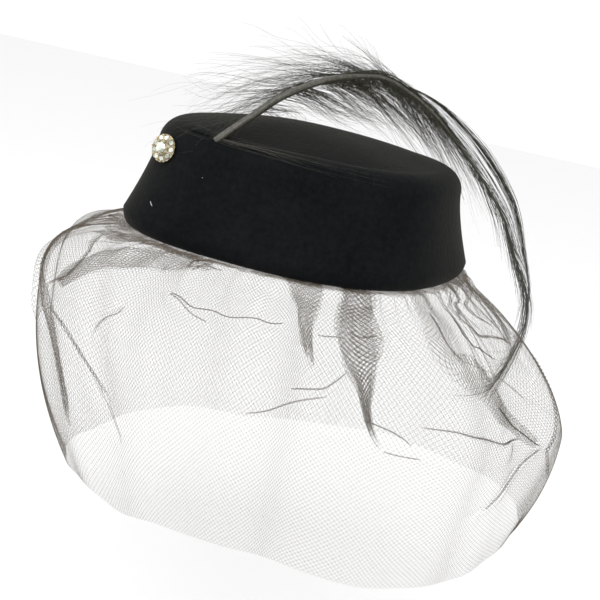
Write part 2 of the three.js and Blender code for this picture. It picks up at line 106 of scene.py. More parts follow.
def rampNode(nodes, links, value, stops):
    # a colour ramp from a list of (place, colour)
    ramp = nodes.new("ShaderNodeValToRGB")
    for index, (place, color) in enumerate(stops):
        element = ramp.color_ramp.elements[index] if index < 2 else ramp.color_ramp.elements.new(place)
        element.position = place
        element.color = (*color, 1)
    links.new(value, ramp.inputs["Fac"])
    return ramp


def bumpNode(nodes, links, height, shader, strength, distance, before=None):
    # tilts the shader's normals by a height map; distance in metres; before: a bump that this one adds to
    bump = nodes.new("ShaderNodeBump")
    bump.inputs["Strength"].default_value = strength
    bump.inputs["Distance"].default_value = distance
    links.new(height, bump.inputs["Height"])
    if before is not None:
        links.new(before.outputs["Normal"], bump.inputs["Normal"])
    links.new(bump.outputs["Normal"], shader.inputs["Normal"])
    return bump


# Materials

feltLook = dict(side=(0.0012, 0.0020, 0.0034), worn=(0.0076, 0.0080, 0.0080), sideStop=0.34, wornStop=0.70,
                roughness=0.95, shine=0.08, sheen=0.105, sheenColor=(0.60, 0.58, 0.46), sheenRoughness=0.33,
                napScale=1500, clumpScale=330, patchScale=28, clumpShare=0.55, clumpBump=0.5,
                clumpDepth=0.0008, napBump=0.6, napDepth=0.0003)


def feltMaterial():
    # near-black fur felt: fine nap, small clumps and faint worn patches, with a soft sheen at a slant;
    # its colour runs from side to worn with (1 - clumpShare) * patches + clumpShare * clumps
    material, nodes, links, shader = newMaterial("blackFurFelt")
    place = nodes.new("ShaderNodeTexCoord").outputs["Object"]
    patch = noiseNode(nodes, links, place, feltLook["patchScale"], 4, 0.6)
    clump = noiseNode(nodes, links, place, feltLook["clumpScale"], 5, 0.65)
    nap = noiseNode(nodes, links, place, feltLook["napScale"], 2, 0.6)
    mix = nodes.new("ShaderNodeMix")
    mix.data_type = "FLOAT"
    mix.inputs[0].default_value = feltLook["clumpShare"]
    links.new(patch.outputs["Fac"], mix.inputs[2])
    links.new(clump.outputs["Fac"], mix.inputs[3])
    stops = [(feltLook["sideStop"], feltLook["side"]), (feltLook["wornStop"], feltLook["worn"])]
    ramp = rampNode(nodes, links, mix.outputs[0], stops)
    links.new(ramp.outputs["Color"], shader.inputs["Base Color"])
    shader.inputs["Roughness"].default_value = feltLook["roughness"]
    shader.inputs["Specular IOR Level"].default_value = feltLook["shine"]
    shader.inputs["Sheen Weight"].default_value = feltLook["sheen"]
    shader.inputs["Sheen Roughness"].default_value = feltLook["sheenRoughness"]
    shader.inputs["Sheen Tint"].default_value = (*feltLook["sheenColor"], 1)
    clumps = bumpNode(nodes, links, clump.outputs["Fac"], shader, feltLook["clumpBump"], feltLook["clumpDepth"])
    bumpNode(nodes, links, nap.outputs["Fac"], shader, feltLook["napBump"], feltLook["napDepth"], clumps)
    return material


hornLook = dict(dark=(0.022, 0.021, 0.015), light=(0.105, 0.098, 0.076), streaks=700, roughness=0.32)
barbLook = dict(dark=(0.014, 0.015, 0.007), light=(0.070, 0.068, 0.040), streaks=420, roughness=0.45)
featherShine = 0.55


def featherMaterial(name, dark, light, streaks, roughness):
    # horn and barbs: small streaks of two browns, softly glossy; streaks: how many in a metre
    material, nodes, links, shader = newMaterial(name)
    place = nodes.new("ShaderNodeTexCoord").outputs["Object"]
    streak = noiseNode(nodes, links, place, streaks, 4, 0.6)
    ramp = rampNode(nodes, links, streak.outputs["Fac"], [(0.35, dark), (0.68, light)])
    links.new(ramp.outputs["Color"], shader.inputs["Base Color"])
    shader.inputs["Roughness"].default_value = roughness
    shader.inputs["Specular IOR Level"].default_value = featherShine
    bumpNode(nodes, links, streak.outputs["Fac"], shader, 0.3, 0.0003)
    return material


giltLook = dict(tarnish=(0.24, 0.19, 0.11), bright=(0.66, 0.58, 0.40), patches=520, roughness=0.32, bump=0.15,
                depth=0.0002)


def giltMaterial():
    # gilt brass with darker gold in its tarnished patches
    material, nodes, links, shader = newMaterial("gilt")
    place = nodes.new("ShaderNodeTexCoord").outputs["Object"]
    tarnish = noiseNode(nodes, links, place, giltLook["patches"], 4, 0.6)
    stops = [(0.35, giltLook["tarnish"]), (0.62, giltLook["bright"])]
    ramp = rampNode(nodes, links, tarnish.outputs["Fac"], stops)
    links.new(ramp.outputs["Color"], shader.inputs["Base Color"])
    shader.inputs["Metallic"].default_value = 1.0
    shader.inputs["Roughness"].default_value = giltLook["roughness"]
    bumpNode(nodes, links, tarnish.outputs["Fac"], shader, giltLook["bump"], giltLook["depth"])
    return material


glassLook = dict(deep=(0.33, 0.36, 0.29), pale=(0.86, 0.87, 0.76), clouds=300, metallic=0.45, roughness=0.06,
                 coatRoughness=0.02, bend=1.6)


def stoneMaterial():
    # foil-backed cut glass: pale green-cream, mirror-bright facets with a faint cloud inside
    material, nodes, links, shader = newMaterial("cutGlass")
    place = nodes.new("ShaderNodeTexCoord").outputs["Object"]
    cloud = noiseNode(nodes, links, place, glassLook["clouds"], 3, 0.5)
    stops = [(0.36, glassLook["deep"]), (0.64, glassLook["pale"])]
    ramp = rampNode(nodes, links, cloud.outputs["Fac"], stops)
    links.new(ramp.outputs["Color"], shader.inputs["Base Color"])
    shader.inputs["Metallic"].default_value = glassLook["metallic"]
    shader.inputs["Roughness"].default_value = glassLook["roughness"]
    shader.inputs["Coat Weight"].default_value = 1.0
    shader.inputs["Coat Roughness"].default_value = glassLook["coatRoughness"]
    shader.inputs["IOR"].default_value = glassLook["bend"]
    return material


netLook = dict(color=(0.125, 0.101, 0.074), roughness=0.55, shine=0.4)  # silk thread, warm black


def plainMaterial(name, color, roughness, shine=0.5):
    # one colour all over; every number sits on the shader itself
    material, nodes, links, shader = newMaterial(name)
    shader.inputs["Base Color"].default_value = (*color, 1)
    shader.inputs["Roughness"].default_value = roughness
    shader.inputs["Specular IOR Level"].default_value = shine
    return material


felt = feltMaterial()
horn = featherMaterial("quillHorn", **hornLook)
barb = featherMaterial("featherBarb", **barbLook)
netThread = plainMaterial("netThread", **netLook)
gilt = giltMaterial()
cutGlass = stoneMaterial()
print("materials made")

# Crown

crown = dict(rimLength=191, rimWidth=175, topLength=169.4, topWidth=145.3, height=61.3, domeRise=8.1,
             edgeRadius=13.4, rollIn=5, rollUp=8, thickness=2.6, turnedHeight=12, turnedThickness=6.4,
             ovalPower=2.5, flick=1.35, backLean=2.7, frontRise=1.9, uneven=0.28, waves=0.045)
slit = dict(angle=240, up=0.58, length=27, width=1.6, depth=2.4, lipWidth=3.4, lipRise=1.5, fade=5,
            grooveAt=0.4, lipAt=-1.5, lipEnd=0.2)
quillAngle = 248  # where the quill stands in the slit


def ovalRadius(halfLength, halfWidth, angle):
    # superellipse: (|cos|/a)^p + (|sin|/b)^p = r^-p
    power = crown["ovalPower"]
    lengthwise = np.abs(np.cos(angle) / halfLength) ** power
    widthwise = np.abs(np.sin(angle) / halfWidth) ** power
    return (lengthwise + widthwise) ** (-1 / power)


def crownPoint(halfLength, halfWidth, height, angle):
    # a point of an oval at a height; the crown leans back as it rises, and its front stands higher:
    # x = r*cos + lean*rise, y = r*sin, z = height - frontRise*rise*2x/length
    radius = ovalRadius(halfLength, halfWidth, angle)
    rise = height / crown["height"]
    x = radius * np.cos(angle) + crown["backLean"] * rise
    z = height - crown["frontRise"] * rise * 2 * x / crown["rimLength"]
    return np.stack(np.broadcast_arrays(x, radius * np.sin(angle), z), -1)


def sideProfile(along, depth=0.0):
    # half length, half width and height of the outer face, or of one a depth behind it: up the side for
    # 0..1, where it leans in as 1 - (1 - t)^flick, and round the edge's quarter circle for 1..2
    side = np.minimum(along, 1)
    lean = 1 - (1 - side) ** crown["flick"]
    turn = np.pi / 2 * np.maximum(along - 1, 0)
    inward = crown["edgeRadius"] * (1 - np.cos(turn)) + depth * np.cos(turn)
    halfLength = (crown["rimLength"] + (crown["topLength"] - crown["rimLength"]) * lean) / 2 - inward
    halfWidth = (crown["rimWidth"] + (crown["topWidth"] - crown["rimWidth"]) * lean) / 2 - inward
    sideTop = crown["height"] - crown["edgeRadius"]
    height = crown["rollUp"] + (sideTop - crown["rollUp"]) * side
    return halfLength, halfWidth, height + (crown["edgeRadius"] - depth) * np.sin(turn)


def feltFrame(along, degrees):
    # place, level direction, rising direction and outward normal of the outer face, from its points a small
    # step to either side
    step = 0.01
    angle = np.radians(degrees)
    def at(up, turn):
        return crownPoint(*sideProfile(up), turn)
    level = unit(at(along, angle + step) - at(along, angle - step))
    rising = unit(at(along + step, angle) - at(along - step, angle))
    return at(along, angle), level, rising, unit(np.cross(level, rising))


def crownProfile():
    # rows of half length, half width, height and how far along the outer face they are (-1 off that face):
    # inner dome, inner side, turned rim, rolled edge, outer side and outer dome
    rows = []
    def dome(share, depth, along):  # height = crown height + domeRise * (1 - share^2) - depth
        rows.append(np.stack([(crown["topLength"] / 2 - crown["edgeRadius"]) * share,
                              (crown["topWidth"] / 2 - crown["edgeRadius"]) * share,
                              crown["height"] + crown["domeRise"] * (1 - share ** 2) - depth, along], 1))
    def side(along, depth, mark):  # the side and the rounded edge, a depth behind the outer face
        halfLength, halfWidth, height = sideProfile(along, depth)
        rows.append(np.stack([halfLength, halfWidth, height, mark], 1))
    def ring(inset, height):  # ovals that stand inset from the rim's outline
        rows.append(np.stack([crown["rimLength"] / 2 - inset, crown["rimWidth"] / 2 - inset, height,
                              np.full_like(height, -1.0)], 1))
    inner = np.linspace(0.02, 0.95, 9)
    dome(inner, crown["thickness"], np.full(9, -1.0))
    down = np.concatenate([np.linspace(2, 1, 7), np.linspace(0.85, 0.25, 5)])
    side(down, crown["thickness"], np.full(12, -1.0))
    ring(crown["turnedThickness"] - np.array([2.8, 0.8, 0.2, 0, 0, 0.3]),
         crown["turnedHeight"] - np.array([0, 0.3, 1.0, 2.5, 10.6, 11.5]))
    turn = np.radians(np.linspace(0, 80, 9))
    ring(crown["rollIn"] * (1 - np.sin(turn)), crown["rollUp"] * (1 - np.cos(turn)))
    up = np.concatenate([np.linspace(0, 1, 20), np.linspace(1.06, 1.44, 7), np.linspace(1.48, 1.70, 13),
                         np.linspace(1.75, 2, 5)])
    side(up, 0.0, up)
    outer = np.linspace(0.97, 0.02, 16)
    dome(outer, 0.0, 3 - outer)
    return np.concatenate(rows)


def softNoise(points, scale, seed):
    # a smooth wavy field, mostly between -1 and 1: nine sines in random directions, added and over 3.2
    local = np.random.default_rng(seed)
    total = np.zeros(points.shape[:-1])
    for wave in range(9):
        direction = unit(local.normal(size=3)) * scale * local.uniform(0.6, 2.2)
        total += np.sin(points @ direction + local.uniform(0, 6.3)) / 3.2
    return total


def buildCrown():
    # the profile carried round the oval: place = point + outward normal * (uneven * soft noise + slit's lift)
    profile = crownProfile()
    # columns crowd round the slit, so that its edges are sharp
    marks = [0, 148, 154, 230, 236, 296]
    angles = np.interp(np.arange(marks[-1]), marks, np.radians([0, 222, 226, 258, 262, 360]))
    halfLength, halfWidth, height, along = (profile[:, k:k + 1] for k in range(4))
    points = crownPoint(halfLength, halfWidth, height, angles[None, :])
    around = np.roll(points, -1, 1) - np.roll(points, 1, 1)
    upward = np.gradient(points, axis=0)
    normal = unit(np.cross(around, upward))
    face = (along >= 0).astype(float)
    # blocked felt is never quite even, and its rim waves a little
    points = points + normal * (face * crown["uneven"] * softNoise(points, crown["waves"], 3))[..., None]
    # slit: a groove along the rounded edge, and below it the lip of the side's felt that overlaps it
    middle = crownPoint(*sideProfile(1 + slit["up"]), np.radians(slit["angle"]))
    reach = np.hypot(middle[0], middle[1])
    across = np.degrees(angles)[None, :] - slit["angle"]
    level = np.radians(across) * reach
    rising = (along - 1 - slit["up"]) * crown["edgeRadius"] * np.pi / 2
    ends = smoothStep(-np.abs(level), -slit["length"] / 2, -slit["length"] / 2 + slit["fade"])
    onEdge = face * (along > 1) * (along < 2)
    groove = np.exp(-((rising - slit["grooveAt"]) / (slit["width"] * 0.5)) ** 4) * ends
    lipShape = np.exp(-((rising - slit["lipAt"]) / (slit["lipWidth"] * 0.5)) ** 2) * ends
    lipShape = lipShape * (rising < slit["lipEnd"])
    lift = onEdge * (lipShape * slit["lipRise"] - groove * slit["depth"])
    points = points + normal * lift[..., None]
    rows, columns = points.shape[:2]
    flat = points.reshape(-1, 3)
    poles = np.stack([points[0].mean(0), points[-1].mean(0)])
    faces = gridFaces(rows, columns)
    index = np.arange(columns)
    nextIndex = (index + 1) % columns
    low = np.stack([nextIndex, index, np.full(columns, len(flat))], 1)
    top = (rows - 1) * columns
    high = np.stack([top + index, top + nextIndex, np.full(columns, len(flat) + 1)], 1)
    piece = addMesh("crownFelt", np.concatenate([flat, poles]), [faces, low, high], felt)
    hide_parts("crown")
    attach(piece, "root")
    return piece


crownFelt = buildCrown()
print("crown made", len(crownFelt.data.polygons))

# Thin threads

rodTurns = np.radians([90, 210, 330])[:, None]  # the three corners of a thread's section


def threadSweep(paths, radii, axes):
    # carries a three-sided section along many paths at once: place + radius * (side*cos + other*sin);
    # paths: (threads, steps, 3), radii: (threads, steps), axes: what the section is turned to
    threads, steps = paths.shape[:2]
    ahead = unit(np.gradient(paths, axis=1))
    side = unit(np.cross(ahead, axes))
    other = np.cross(side, ahead)
    ring = side[:, :, None] * np.cos(rodTurns) + other[:, :, None] * np.sin(rodTurns)
    points = paths[:, :, None] + ring * radii[:, :, None, None]
    step, corner = np.meshgrid(np.arange(steps - 1), np.arange(3), indexing="ij")
    nextCorner = (corner + 1) % 3
    quad = np.stack([step * 3 + corner, (step + 1) * 3 + corner,
                     (step + 1) * 3 + nextCorner, step * 3 + nextCorner], -1)
    quads = (quad.reshape(1, -1, 4) + (np.arange(threads) * steps * 3)[:, None, None]).reshape(-1, 4)
    return points.reshape(-1, 3), quads


# Plume

plume = dict(rise=44, drop=197, back=132, across=206, rootDepth=9, vaneWidth=5.4, strandOffset=11,
             lockLength=80, crest=117, aboveCrest=15)
# the quill's route from its slit, as shares: back, across, rise, drop and, of vaneWidth, the vane's half width
route = np.array([
    [0, 0, 0, 0, 0.39], [0.082, 0.059, 0.315, 0, 0.39], [0.155, 0.113, 0.592, 0, 0.41],
    [0.220, 0.164, 0.765, 0, 0.48], [0.295, 0.224, 0.915, 0, 0.74], [0.361, 0.287, 0.985, 0, 0.95],
    [0.433, 0.357, 1, 0, 1], [0.509, 0.433, 1, 0.031, 0.90], [0.598, 0.513, 1, 0.088, 0.78],
    [0.670, 0.572, 1, 0.149, 0.70], [0.747, 0.633, 1, 0.219, 0.68], [0.828, 0.694, 1, 0.303, 0.70],
    [0.880, 0.742, 1, 0.370, 0.72], [0.931, 0.811, 1, 0.482, 0.66], [0.995, 0.894, 1, 0.620, 0.62],
    [1, 0.928, 1, 0.693, 0.66], [0.979, 0.959, 1, 0.775, 0.62], [0.899, 0.994, 1, 0.924, 0.40],
    [0.847, 1, 1, 1, 0.14]])


def smoothRoute(knots, steps):
    # centripetal Catmull-Rom curve: (2t^3 - 3t^2 + 1)*start + (t^3 - 2t^2 + t)*leave + (3t^2 - 2t^3)*end
    # + (t^3 - t^2)*arrive, with leave and arrive from the neighbours and each gap the root of its length
    before = np.vstack([2 * knots[0] - knots[1], knots[:-2]])
    start, end = knots[:-1], knots[1:]
    after = np.vstack([knots[2:], 2 * knots[-1] - knots[-2]])
    def gap(near, far):
        return np.linalg.norm(far - near, axis=1, keepdims=True) ** 0.5
    last, this, following = gap(before, start), gap(start, end), gap(end, after)
    leave = ((start - before) / last - (end - before) / (last + this) + (end - start) / this) * this
    arrive = ((end - start) / this - (after - start) / (this + following) + (after - end) / following) * this
    part = np.linspace(0, 1, steps, endpoint=False)[None, :, None]
    curve = ((2 * part ** 3 - 3 * part ** 2 + 1) * start[:, None]
             + (part ** 3 - 2 * part ** 2 + part) * leave[:, None]
             + (-2 * part ** 3 + 3 * part ** 2) * end[:, None] + (part ** 3 - part ** 2) * arrive[:, None])
    return np.vstack([curve.reshape(-1, 3), knots[-1]])


def quillTable():
    # the curve through the root and the route, sampled evenly by length: its places, the way ahead, the way
    # out of the bend, the way to its flank, and the vane's half width in mm
    steps, samples = 60, 1600
    place, normal = feltFrame(1 + slit["up"], quillAngle)[::3]
    root = place - normal * plume["rootDepth"] - np.array([plume["rootDepth"], 0, 0])
    rest = place + np.stack([route[:, 0] * plume["back"], route[:, 1] * plume["across"],
                             route[:, 2] * plume["rise"] - route[:, 3] * plume["drop"]], 1)
    knots = np.vstack([root, rest])
    curve = smoothRoute(knots, steps)
    wide = np.concatenate([route[:1, 4], route[:, 4]])
    wide = np.interp(np.arange(len(curve)) / steps, np.arange(len(knots)), wide)
    length = np.concatenate([[0], np.cumsum(np.linalg.norm(np.diff(curve, axis=0), axis=1))])
    shares = np.linspace(0, 1, samples)
    even = np.stack([np.interp(shares, length / length[-1], curve[:, k]) for k in range(3)], 1)
    ahead = unit(np.gradient(even, axis=0))
    flank = unit(np.cross(knots[-1] - place, [0, 0, 1]))
    outer = unit(np.cross(flank[None], ahead))
    return dict(share=shares, place=even, ahead=ahead, outer=outer, side=np.cross(ahead, outer),
                wide=np.interp(shares, length / length[-1], wide) * plume["vaneWidth"], length=length[-1])


quill = quillTable()


def quillAt(share, column):
    # a column of the quill's table at any shares, on straight lines between its rows
    values = quill[column]
    if values.ndim == 1:
        return np.interp(share, quill["share"], values)
    return np.stack([np.interp(share, quill["share"], values[:, k]) for k in range(3)], -1)


shaft = dict(share=[0, 0.10, 0.2, 0.3, 0.5, 0.8, 1], half=[2.1, 2.1, 1.9, 1.5, 0.9, 0.5, 0.2], groove=0.30,
             grooveTurn=0.42, dent=0.12, dentAt=2.2, dentTurn=0.3, flat=0.95)


def buildShaft():
    # a round section that thins to the tip, with a groove down its outer face and two dents near its inner one:
    # place + half * (1 - groove*exp(-(turn/grooveTurn)^2) - dents) * (outer*cos + flat*side*sin)
    steps, sides = 240, 20
    share = np.linspace(0, 1, steps)
    half = np.interp(share, shaft["share"], shaft["half"])
    turn = np.linspace(0, 2 * np.pi, sides, endpoint=False)
    bend = (turn + np.pi) % (2 * np.pi) - np.pi
    dents = shaft["dent"] * np.exp(-((np.abs(bend) - shaft["dentAt"]) / shaft["dentTurn"]) ** 2)
    groove = 1 - shaft["groove"] * np.exp(-(bend / shaft["grooveTurn"]) ** 2) - dents
    place, outer, side = (quillAt(share, name) for name in ("place", "outer", "side"))
    ring = (outer[:, None] * (np.cos(turn) * groove)[None, :, None]
            + side[:, None] * (np.sin(turn) * groove * shaft["flat"])[None, :, None])
    points = (place[:, None] + ring * half[:, None, None]).reshape(-1, 3)
    index = np.arange(sides)
    nextIndex = (index + 1) % sides
    tip = (steps - 1) * sides
    ends = [np.stack([nextIndex, index, np.full(sides, len(points))], 1),
            np.stack([tip + index, tip + nextIndex, np.full(sides, len(points) + 1)], 1)]
    points = np.vstack([points, place[0], place[-1]])
    return addMesh("quillShaft", points, [gridFaces(steps, sides), *ends], horn)


# barbs that stand free, row by row like the locks of the CAD: share of the quill where they leave it, sweep and
# spread in degrees, length as a share of lockLength, and droop as a share of the barb's own length
fanRows = np.array([
    [0.185, 160, -100, 1.30, 0.10], [0.210, 152, -96, 1.38, 0.12], [0.240, 136, -92, 1.36, 0.12],
    [0.255, 149, -87, 1.20, 0.16], [0.270, 132, -86, 1.16, 0.16], [0.285, 143, -78, 1.02, 0.18],
    [0.300, 134, -73, 1.02, 0.20], [0.315, 151, -72, 0.84, 0.12], [0.330, 142, -76, 0.72, 0.08],
    [0.350, 159, -75, 0.56, 0.04]])
underRows = np.array([
    [0.100, -47, -2, 0.42, 0.02], [0.130, -43, -6, 0.55, 0.03], [0.155, -43, -26, 0.68, 0.05],
    [0.180, -41, -9, 0.82, 0.06], [0.205, -42, -26, 0.85, 0.08], [0.230, -37, -14, 0.92, 0.10],
    [0.255, -34, -20, 0.98, 0.12], [0.280, -34, -11, 1.00, 0.13], [0.310, -30, -22, 0.98, 0.14],
    [0.345, -16, -14, 0.98, 0.14], [0.390, -11, -12, 1.00, 0.16]])
lowRows = np.array([
    [0.075, 168, -60, 0.42, -0.10], [0.100, 162, -80, 0.62, -0.06], [0.125, 164, -95, 0.85, 0.02],
    [0.155, 160, -92, 1.00, 0.06], [0.190, 156, -96, 1.15, 0.10]])

# own: what differs from barb to barb; clump: what differs from clump to clump; a pair is a range
loose = dict(clumpShare=0.004, ownShare=0.0045, clumpSweep=5, ownSweep=2.2, clumpSpread=9, ownSpread=3,
             clumpLength=(0.70, 1.02), ownLength=(0.50, 1.02), droop=(0.5, 1.9), clumpSwing=(0.2, 1),
             ownSwing=(0, 0.45), wave=0.34, beats=(4.5, 8.5), thick=(0.066, 0.118), taper=0.78)


def freeBarbs(rows, clumps, members, tangle, curl, steps=12):
    # barbs stand in clumps that part towards their tips:
    # place + length*t*direction - length*droop*t^2*up + swing*t^2 + wave*curl*t*sin(beats*t);
    # above the crest the height bends over: crest + aboveCrest*tanh(height past the crest / aboveCrest)
    count = clumps * members
    def shared(values):
        return np.repeat(values, members, axis=0)
    def jitter(name):
        return shared(rng.normal(0, loose["clump" + name] * (1 if name == "Share" else tangle), clumps))
    pick = shared(np.sort(rng.uniform(0, len(rows) - 1, clumps)))
    def value(column):
        return np.interp(pick, np.arange(len(rows)), rows[:, column])
    share = value(0) + jitter("Share") + rng.normal(0, loose["ownShare"], count)
    sweep = np.radians(value(1) + jitter("Sweep") + rng.normal(0, loose["ownSweep"], count))
    spread = np.radians(value(2) + jitter("Spread") + rng.normal(0, loose["ownSpread"], count))
    length = value(3) * plume["lockLength"] * shared(rng.uniform(*loose["clumpLength"], clumps))
    length = length * rng.uniform(*loose["ownLength"], count)
    droop = value(4) * rng.uniform(*loose["droop"], count)
    ahead, outer, side = (quillAt(share, name) for name in ("ahead", "outer", "side"))
    away = outer * np.cos(spread)[:, None] + side * np.sin(spread)[:, None]
    direction = ahead * np.cos(sweep)[:, None] + away * np.sin(sweep)[:, None]
    part = np.linspace(0, 1, steps)[None, :]
    paths = quillAt(share, "place")[:, None] + direction[:, None] * (length[:, None] * part)[..., None]
    paths[..., 2] -= length[:, None] * droop[:, None] * part ** 2
    swing = unit(rng.normal(size=(clumps, 3))) * rng.uniform(*loose["clumpSwing"], clumps)[:, None]
    own = unit(rng.normal(size=(count, 3))) * rng.uniform(*loose["ownSwing"], count)[:, None]
    swing = (shared(swing) * curl + own * curl) * (length / plume["lockLength"])[:, None]
    wave = shared(unit(rng.normal(size=(clumps, 3)))) * curl * loose["wave"]
    beats = shared(rng.uniform(*loose["beats"], clumps))[:, None]
    paths = paths + swing[:, None] * (part ** 2)[..., None]
    paths = paths + wave[:, None] * (np.sin(part * beats) * part)[..., None]
    past = np.maximum(paths[..., 2] - plume["crest"], 0)
    paths[..., 2] += plume["aboveCrest"] * np.tanh(past / plume["aboveCrest"]) - past
    radii = rng.uniform(*loose["thick"], count)[:, None] * (1.05 - loose["taper"] * part)
    return paths, radii


lying = dict(start=(246, 258), end=(272, 330), along=1.60, apart=0.05, drift=(-0.34, 0.20), arch=0.12,
             clear=0.7, lift=(0, 3), thick=(0.045, 0.078))


def lyingBarbs(count, steps=22):
    # stray barbs on the felt: from the slit they run round the front over the crown's rounded edge, along the
    # outer face at (along + (drift + arch*sin(2.5t))*t, start + (end - start)*t)
    part = np.linspace(0, 1, steps)[None, :]
    start = rng.uniform(*lying["start"], count)[:, None]
    end = rng.uniform(*lying["end"], count)[:, None]
    angle = np.radians(start + (end - start) * part)
    along = lying["along"] + rng.normal(0, lying["apart"], count)[:, None]
    drift = rng.uniform(*lying["drift"], count)[:, None]
    along = along + (drift + lying["arch"] * np.sin(2.5 * part)) * part
    paths = crownPoint(*sideProfile(along, -lying["clear"]), angle)
    paths[..., 2] += 0.5 * np.sin(np.pi * part) * rng.uniform(*lying["lift"], count)[:, None]
    radii = rng.uniform(*lying["thick"], count)[:, None] * (1.05 - 0.8 * part)
    return paths, radii


def vaneBarbs(count, start, end, inner=1.55, reachTo=62, crowd=1.0, steps=12):
    # barbs that lie along the shaft: they leave it and settle at their own place across the vane, up to inner
    # half widths away on its inner side and edge on its outer side; past the bend they part sideways too:
    # place + outer*(wide*across*sqrt(t) + sway) + side*thick*sqrt(t)
    edge = 0.85
    share = start + (end - start) * rng.uniform(0, 1, count) ** 1.35
    reach = rng.uniform(0.4, 1, count) * reachTo / quill["length"]
    reach = np.minimum(reach, (1 - share) * rng.uniform(0.5, 1, count))
    across = edge - (inner + edge) * rng.uniform(0, 1, count) ** crowd
    part = np.linspace(0, 1, steps)[None, :]
    along = np.minimum(share[:, None] + reach[:, None] * part, 1.0)
    width = quillAt(along, "wide") * across[:, None] * part ** 0.5
    thick = rng.uniform(-1, 1, count)[:, None] * (1.4 + 4.0 * smoothStep(along, 0.50, 0.75)) * part ** 0.5
    width = width * (1 + 0.45 * smoothStep(along, 0.45, 0.65))
    sway = 0.5 * np.sin(6 * part + rng.uniform(0, 6, count)[:, None]) * part
    paths = (quillAt(along, "place") + quillAt(along, "outer") * (width + sway)[..., None]
             + quillAt(along, "side") * thick[..., None])
    radii = rng.uniform(0.10, 0.17, count)[:, None] * (1.05 - 0.75 * part)
    return paths, radii


strand = dict(start=(0.325, 0.40), end=(0.70, 0.84), archFrom=0.34, archLength=0.46, atEdge=0.6,
              within=(0.30, 1.12), sideways=0.9, thick=(0.08, 0.14))


def strandBarbs(count, steps=26):
    # the loose strand that arches outside the vane, and barbs between: place + outer*offset + side*sideways,
    # offset = strandOffset * reach * (sin of the share of the arch passed)^0.7 + a barb's own straying
    part = np.linspace(0, 1, steps)[None, :]
    start = rng.uniform(*strand["start"], count)[:, None]
    end = rng.uniform(*strand["end"], count)[:, None]
    along = start + (end - start) * part
    whole = np.clip((along - strand["archFrom"]) / strand["archLength"], 0, 1)
    stray = rng.normal(0, 1.3, count)[:, None] * np.sin(np.pi * part)
    stray = stray + 0.6 * np.sin(7 * part + rng.uniform(0, 6, count)[:, None])
    reach = np.where(rng.uniform(0, 1, count) < strand["atEdge"], 1.0, rng.uniform(*strand["within"], count))
    offset = plume["strandOffset"] * reach[:, None] * np.sin(np.pi * whole) ** 0.7
    offset = offset + stray * np.minimum(4 * part, 1)
    sideways = rng.normal(0, strand["sideways"], count)[:, None] * np.sin(np.pi * part)
    paths = (quillAt(along, "place") + quillAt(along, "outer") * offset[..., None]
             + quillAt(along, "side") * sideways[..., None])
    radii = rng.uniform(*strand["thick"], count)[:, None] * (1.0 - 0.5 * np.abs(2 * part - 1))
    return paths, radii


tip = dict(leave=(0.84, 0.995), length=(12, 34), sweep=(-0.9, -0.35, -0.12), apart=0.08, thick=(0.09, 0.15))


def tipBarbs(count, steps=10):
    # past the tip the last barbs sweep on towards the front and lie nearly level:
    # place + ahead*length*t*(1 - 0.55t) + sweep*length*0.75t^2
    part = np.linspace(0, 1, steps)[None, :]
    share = rng.uniform(*tip["leave"], count)
    length = rng.uniform(*tip["length"], count)[:, None]
    ahead = quillAt(share, "ahead")
    level = unit(np.array(tip["sweep"]))[None] + rng.normal(0, tip["apart"], (count, 3))
    paths = (quillAt(share, "place")[:, None] + ahead[:, None] * (length * part * (1 - 0.55 * part))[..., None]
             + level[:, None] * (length * part ** 2 * 0.75)[..., None])
    radii = rng.uniform(*tip["thick"], count)[:, None] * (1.05 - 0.8 * part)
    return paths, radii


def buildBarbs(name, sets, material):
    # one mesh from sets of barbs: the three-sided section of threadSweep along each path
    clouds, quads, base = [], [], 0
    for paths, radii in sets:
        aslant = np.broadcast_to(np.array([0.42, -0.89, 0.17]), paths.shape)  # a way that few barbs go
        points, faces = threadSweep(paths, radii, aslant)
        clouds.append(points)
        quads.append(faces + base)
        base += len(points)
    return addMesh(name, np.concatenate(clouds), quads, material)


plumePieces = [
    buildShaft(),
    buildBarbs("fanBarbs", [freeBarbs(fanRows, clumps=40, members=7, tangle=1.5, curl=20),
                            freeBarbs(lowRows, clumps=12, members=5, tangle=1.2, curl=18)], barb),
    buildBarbs("underBarbs", [freeBarbs(underRows, clumps=66, members=7, tangle=1.1, curl=12),
                              vaneBarbs(290, start=0.20, end=0.42, inner=4.6, reachTo=72, crowd=1.3)], barb),
    buildBarbs("vaneBarbs", [vaneBarbs(510, start=0.21, end=0.96), strandBarbs(68), tipBarbs(36)], barb),
    buildBarbs("lyingBarbs", [lyingBarbs(26)], horn)]
for piece in plumePieces:
    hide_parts("plume")
    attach(piece, "root")
print("plume made", sum(len(piece.data.polygons) for piece in plumePieces))

# Net

veil = dict(flare=74.5, drop=147, turn=25, bandTop=7, inset=7.4, under=-0.3, bandShare=0.08,
            shoulderShare=0.55, foldDepth=9, gatherDepth=2.4, ripple=0.5, hole=2.5, rise=1.45, thread=0.116,
            width=870, length=192, panels=4)
# rows every 45 degrees from turn: how far the net stands out past the rim at its widest and at the hem,
# how low both are, and how full its shoulder is
hang = dict(
    stand=[1.00, 0.66, 0.35, 0.40, 0.56, 0.50, 0.38, 0.72],
    hemStand=[0.80, 0.55, 0.18, 0.10, 0.15, 0.20, 0.27, 0.64],
    widest=[0.54, 0.49, 0.41, 0.34, 0.27, 0.34, 0.44, 0.54],
    drop=[0.92, 0.92, 0.94, 0.94, 0.95, 0.98, 0.98, 1.00],
    full=[1.4, 1.6, 2.0, 2.3, 3.0, 2.4, 2.0, 1.6])
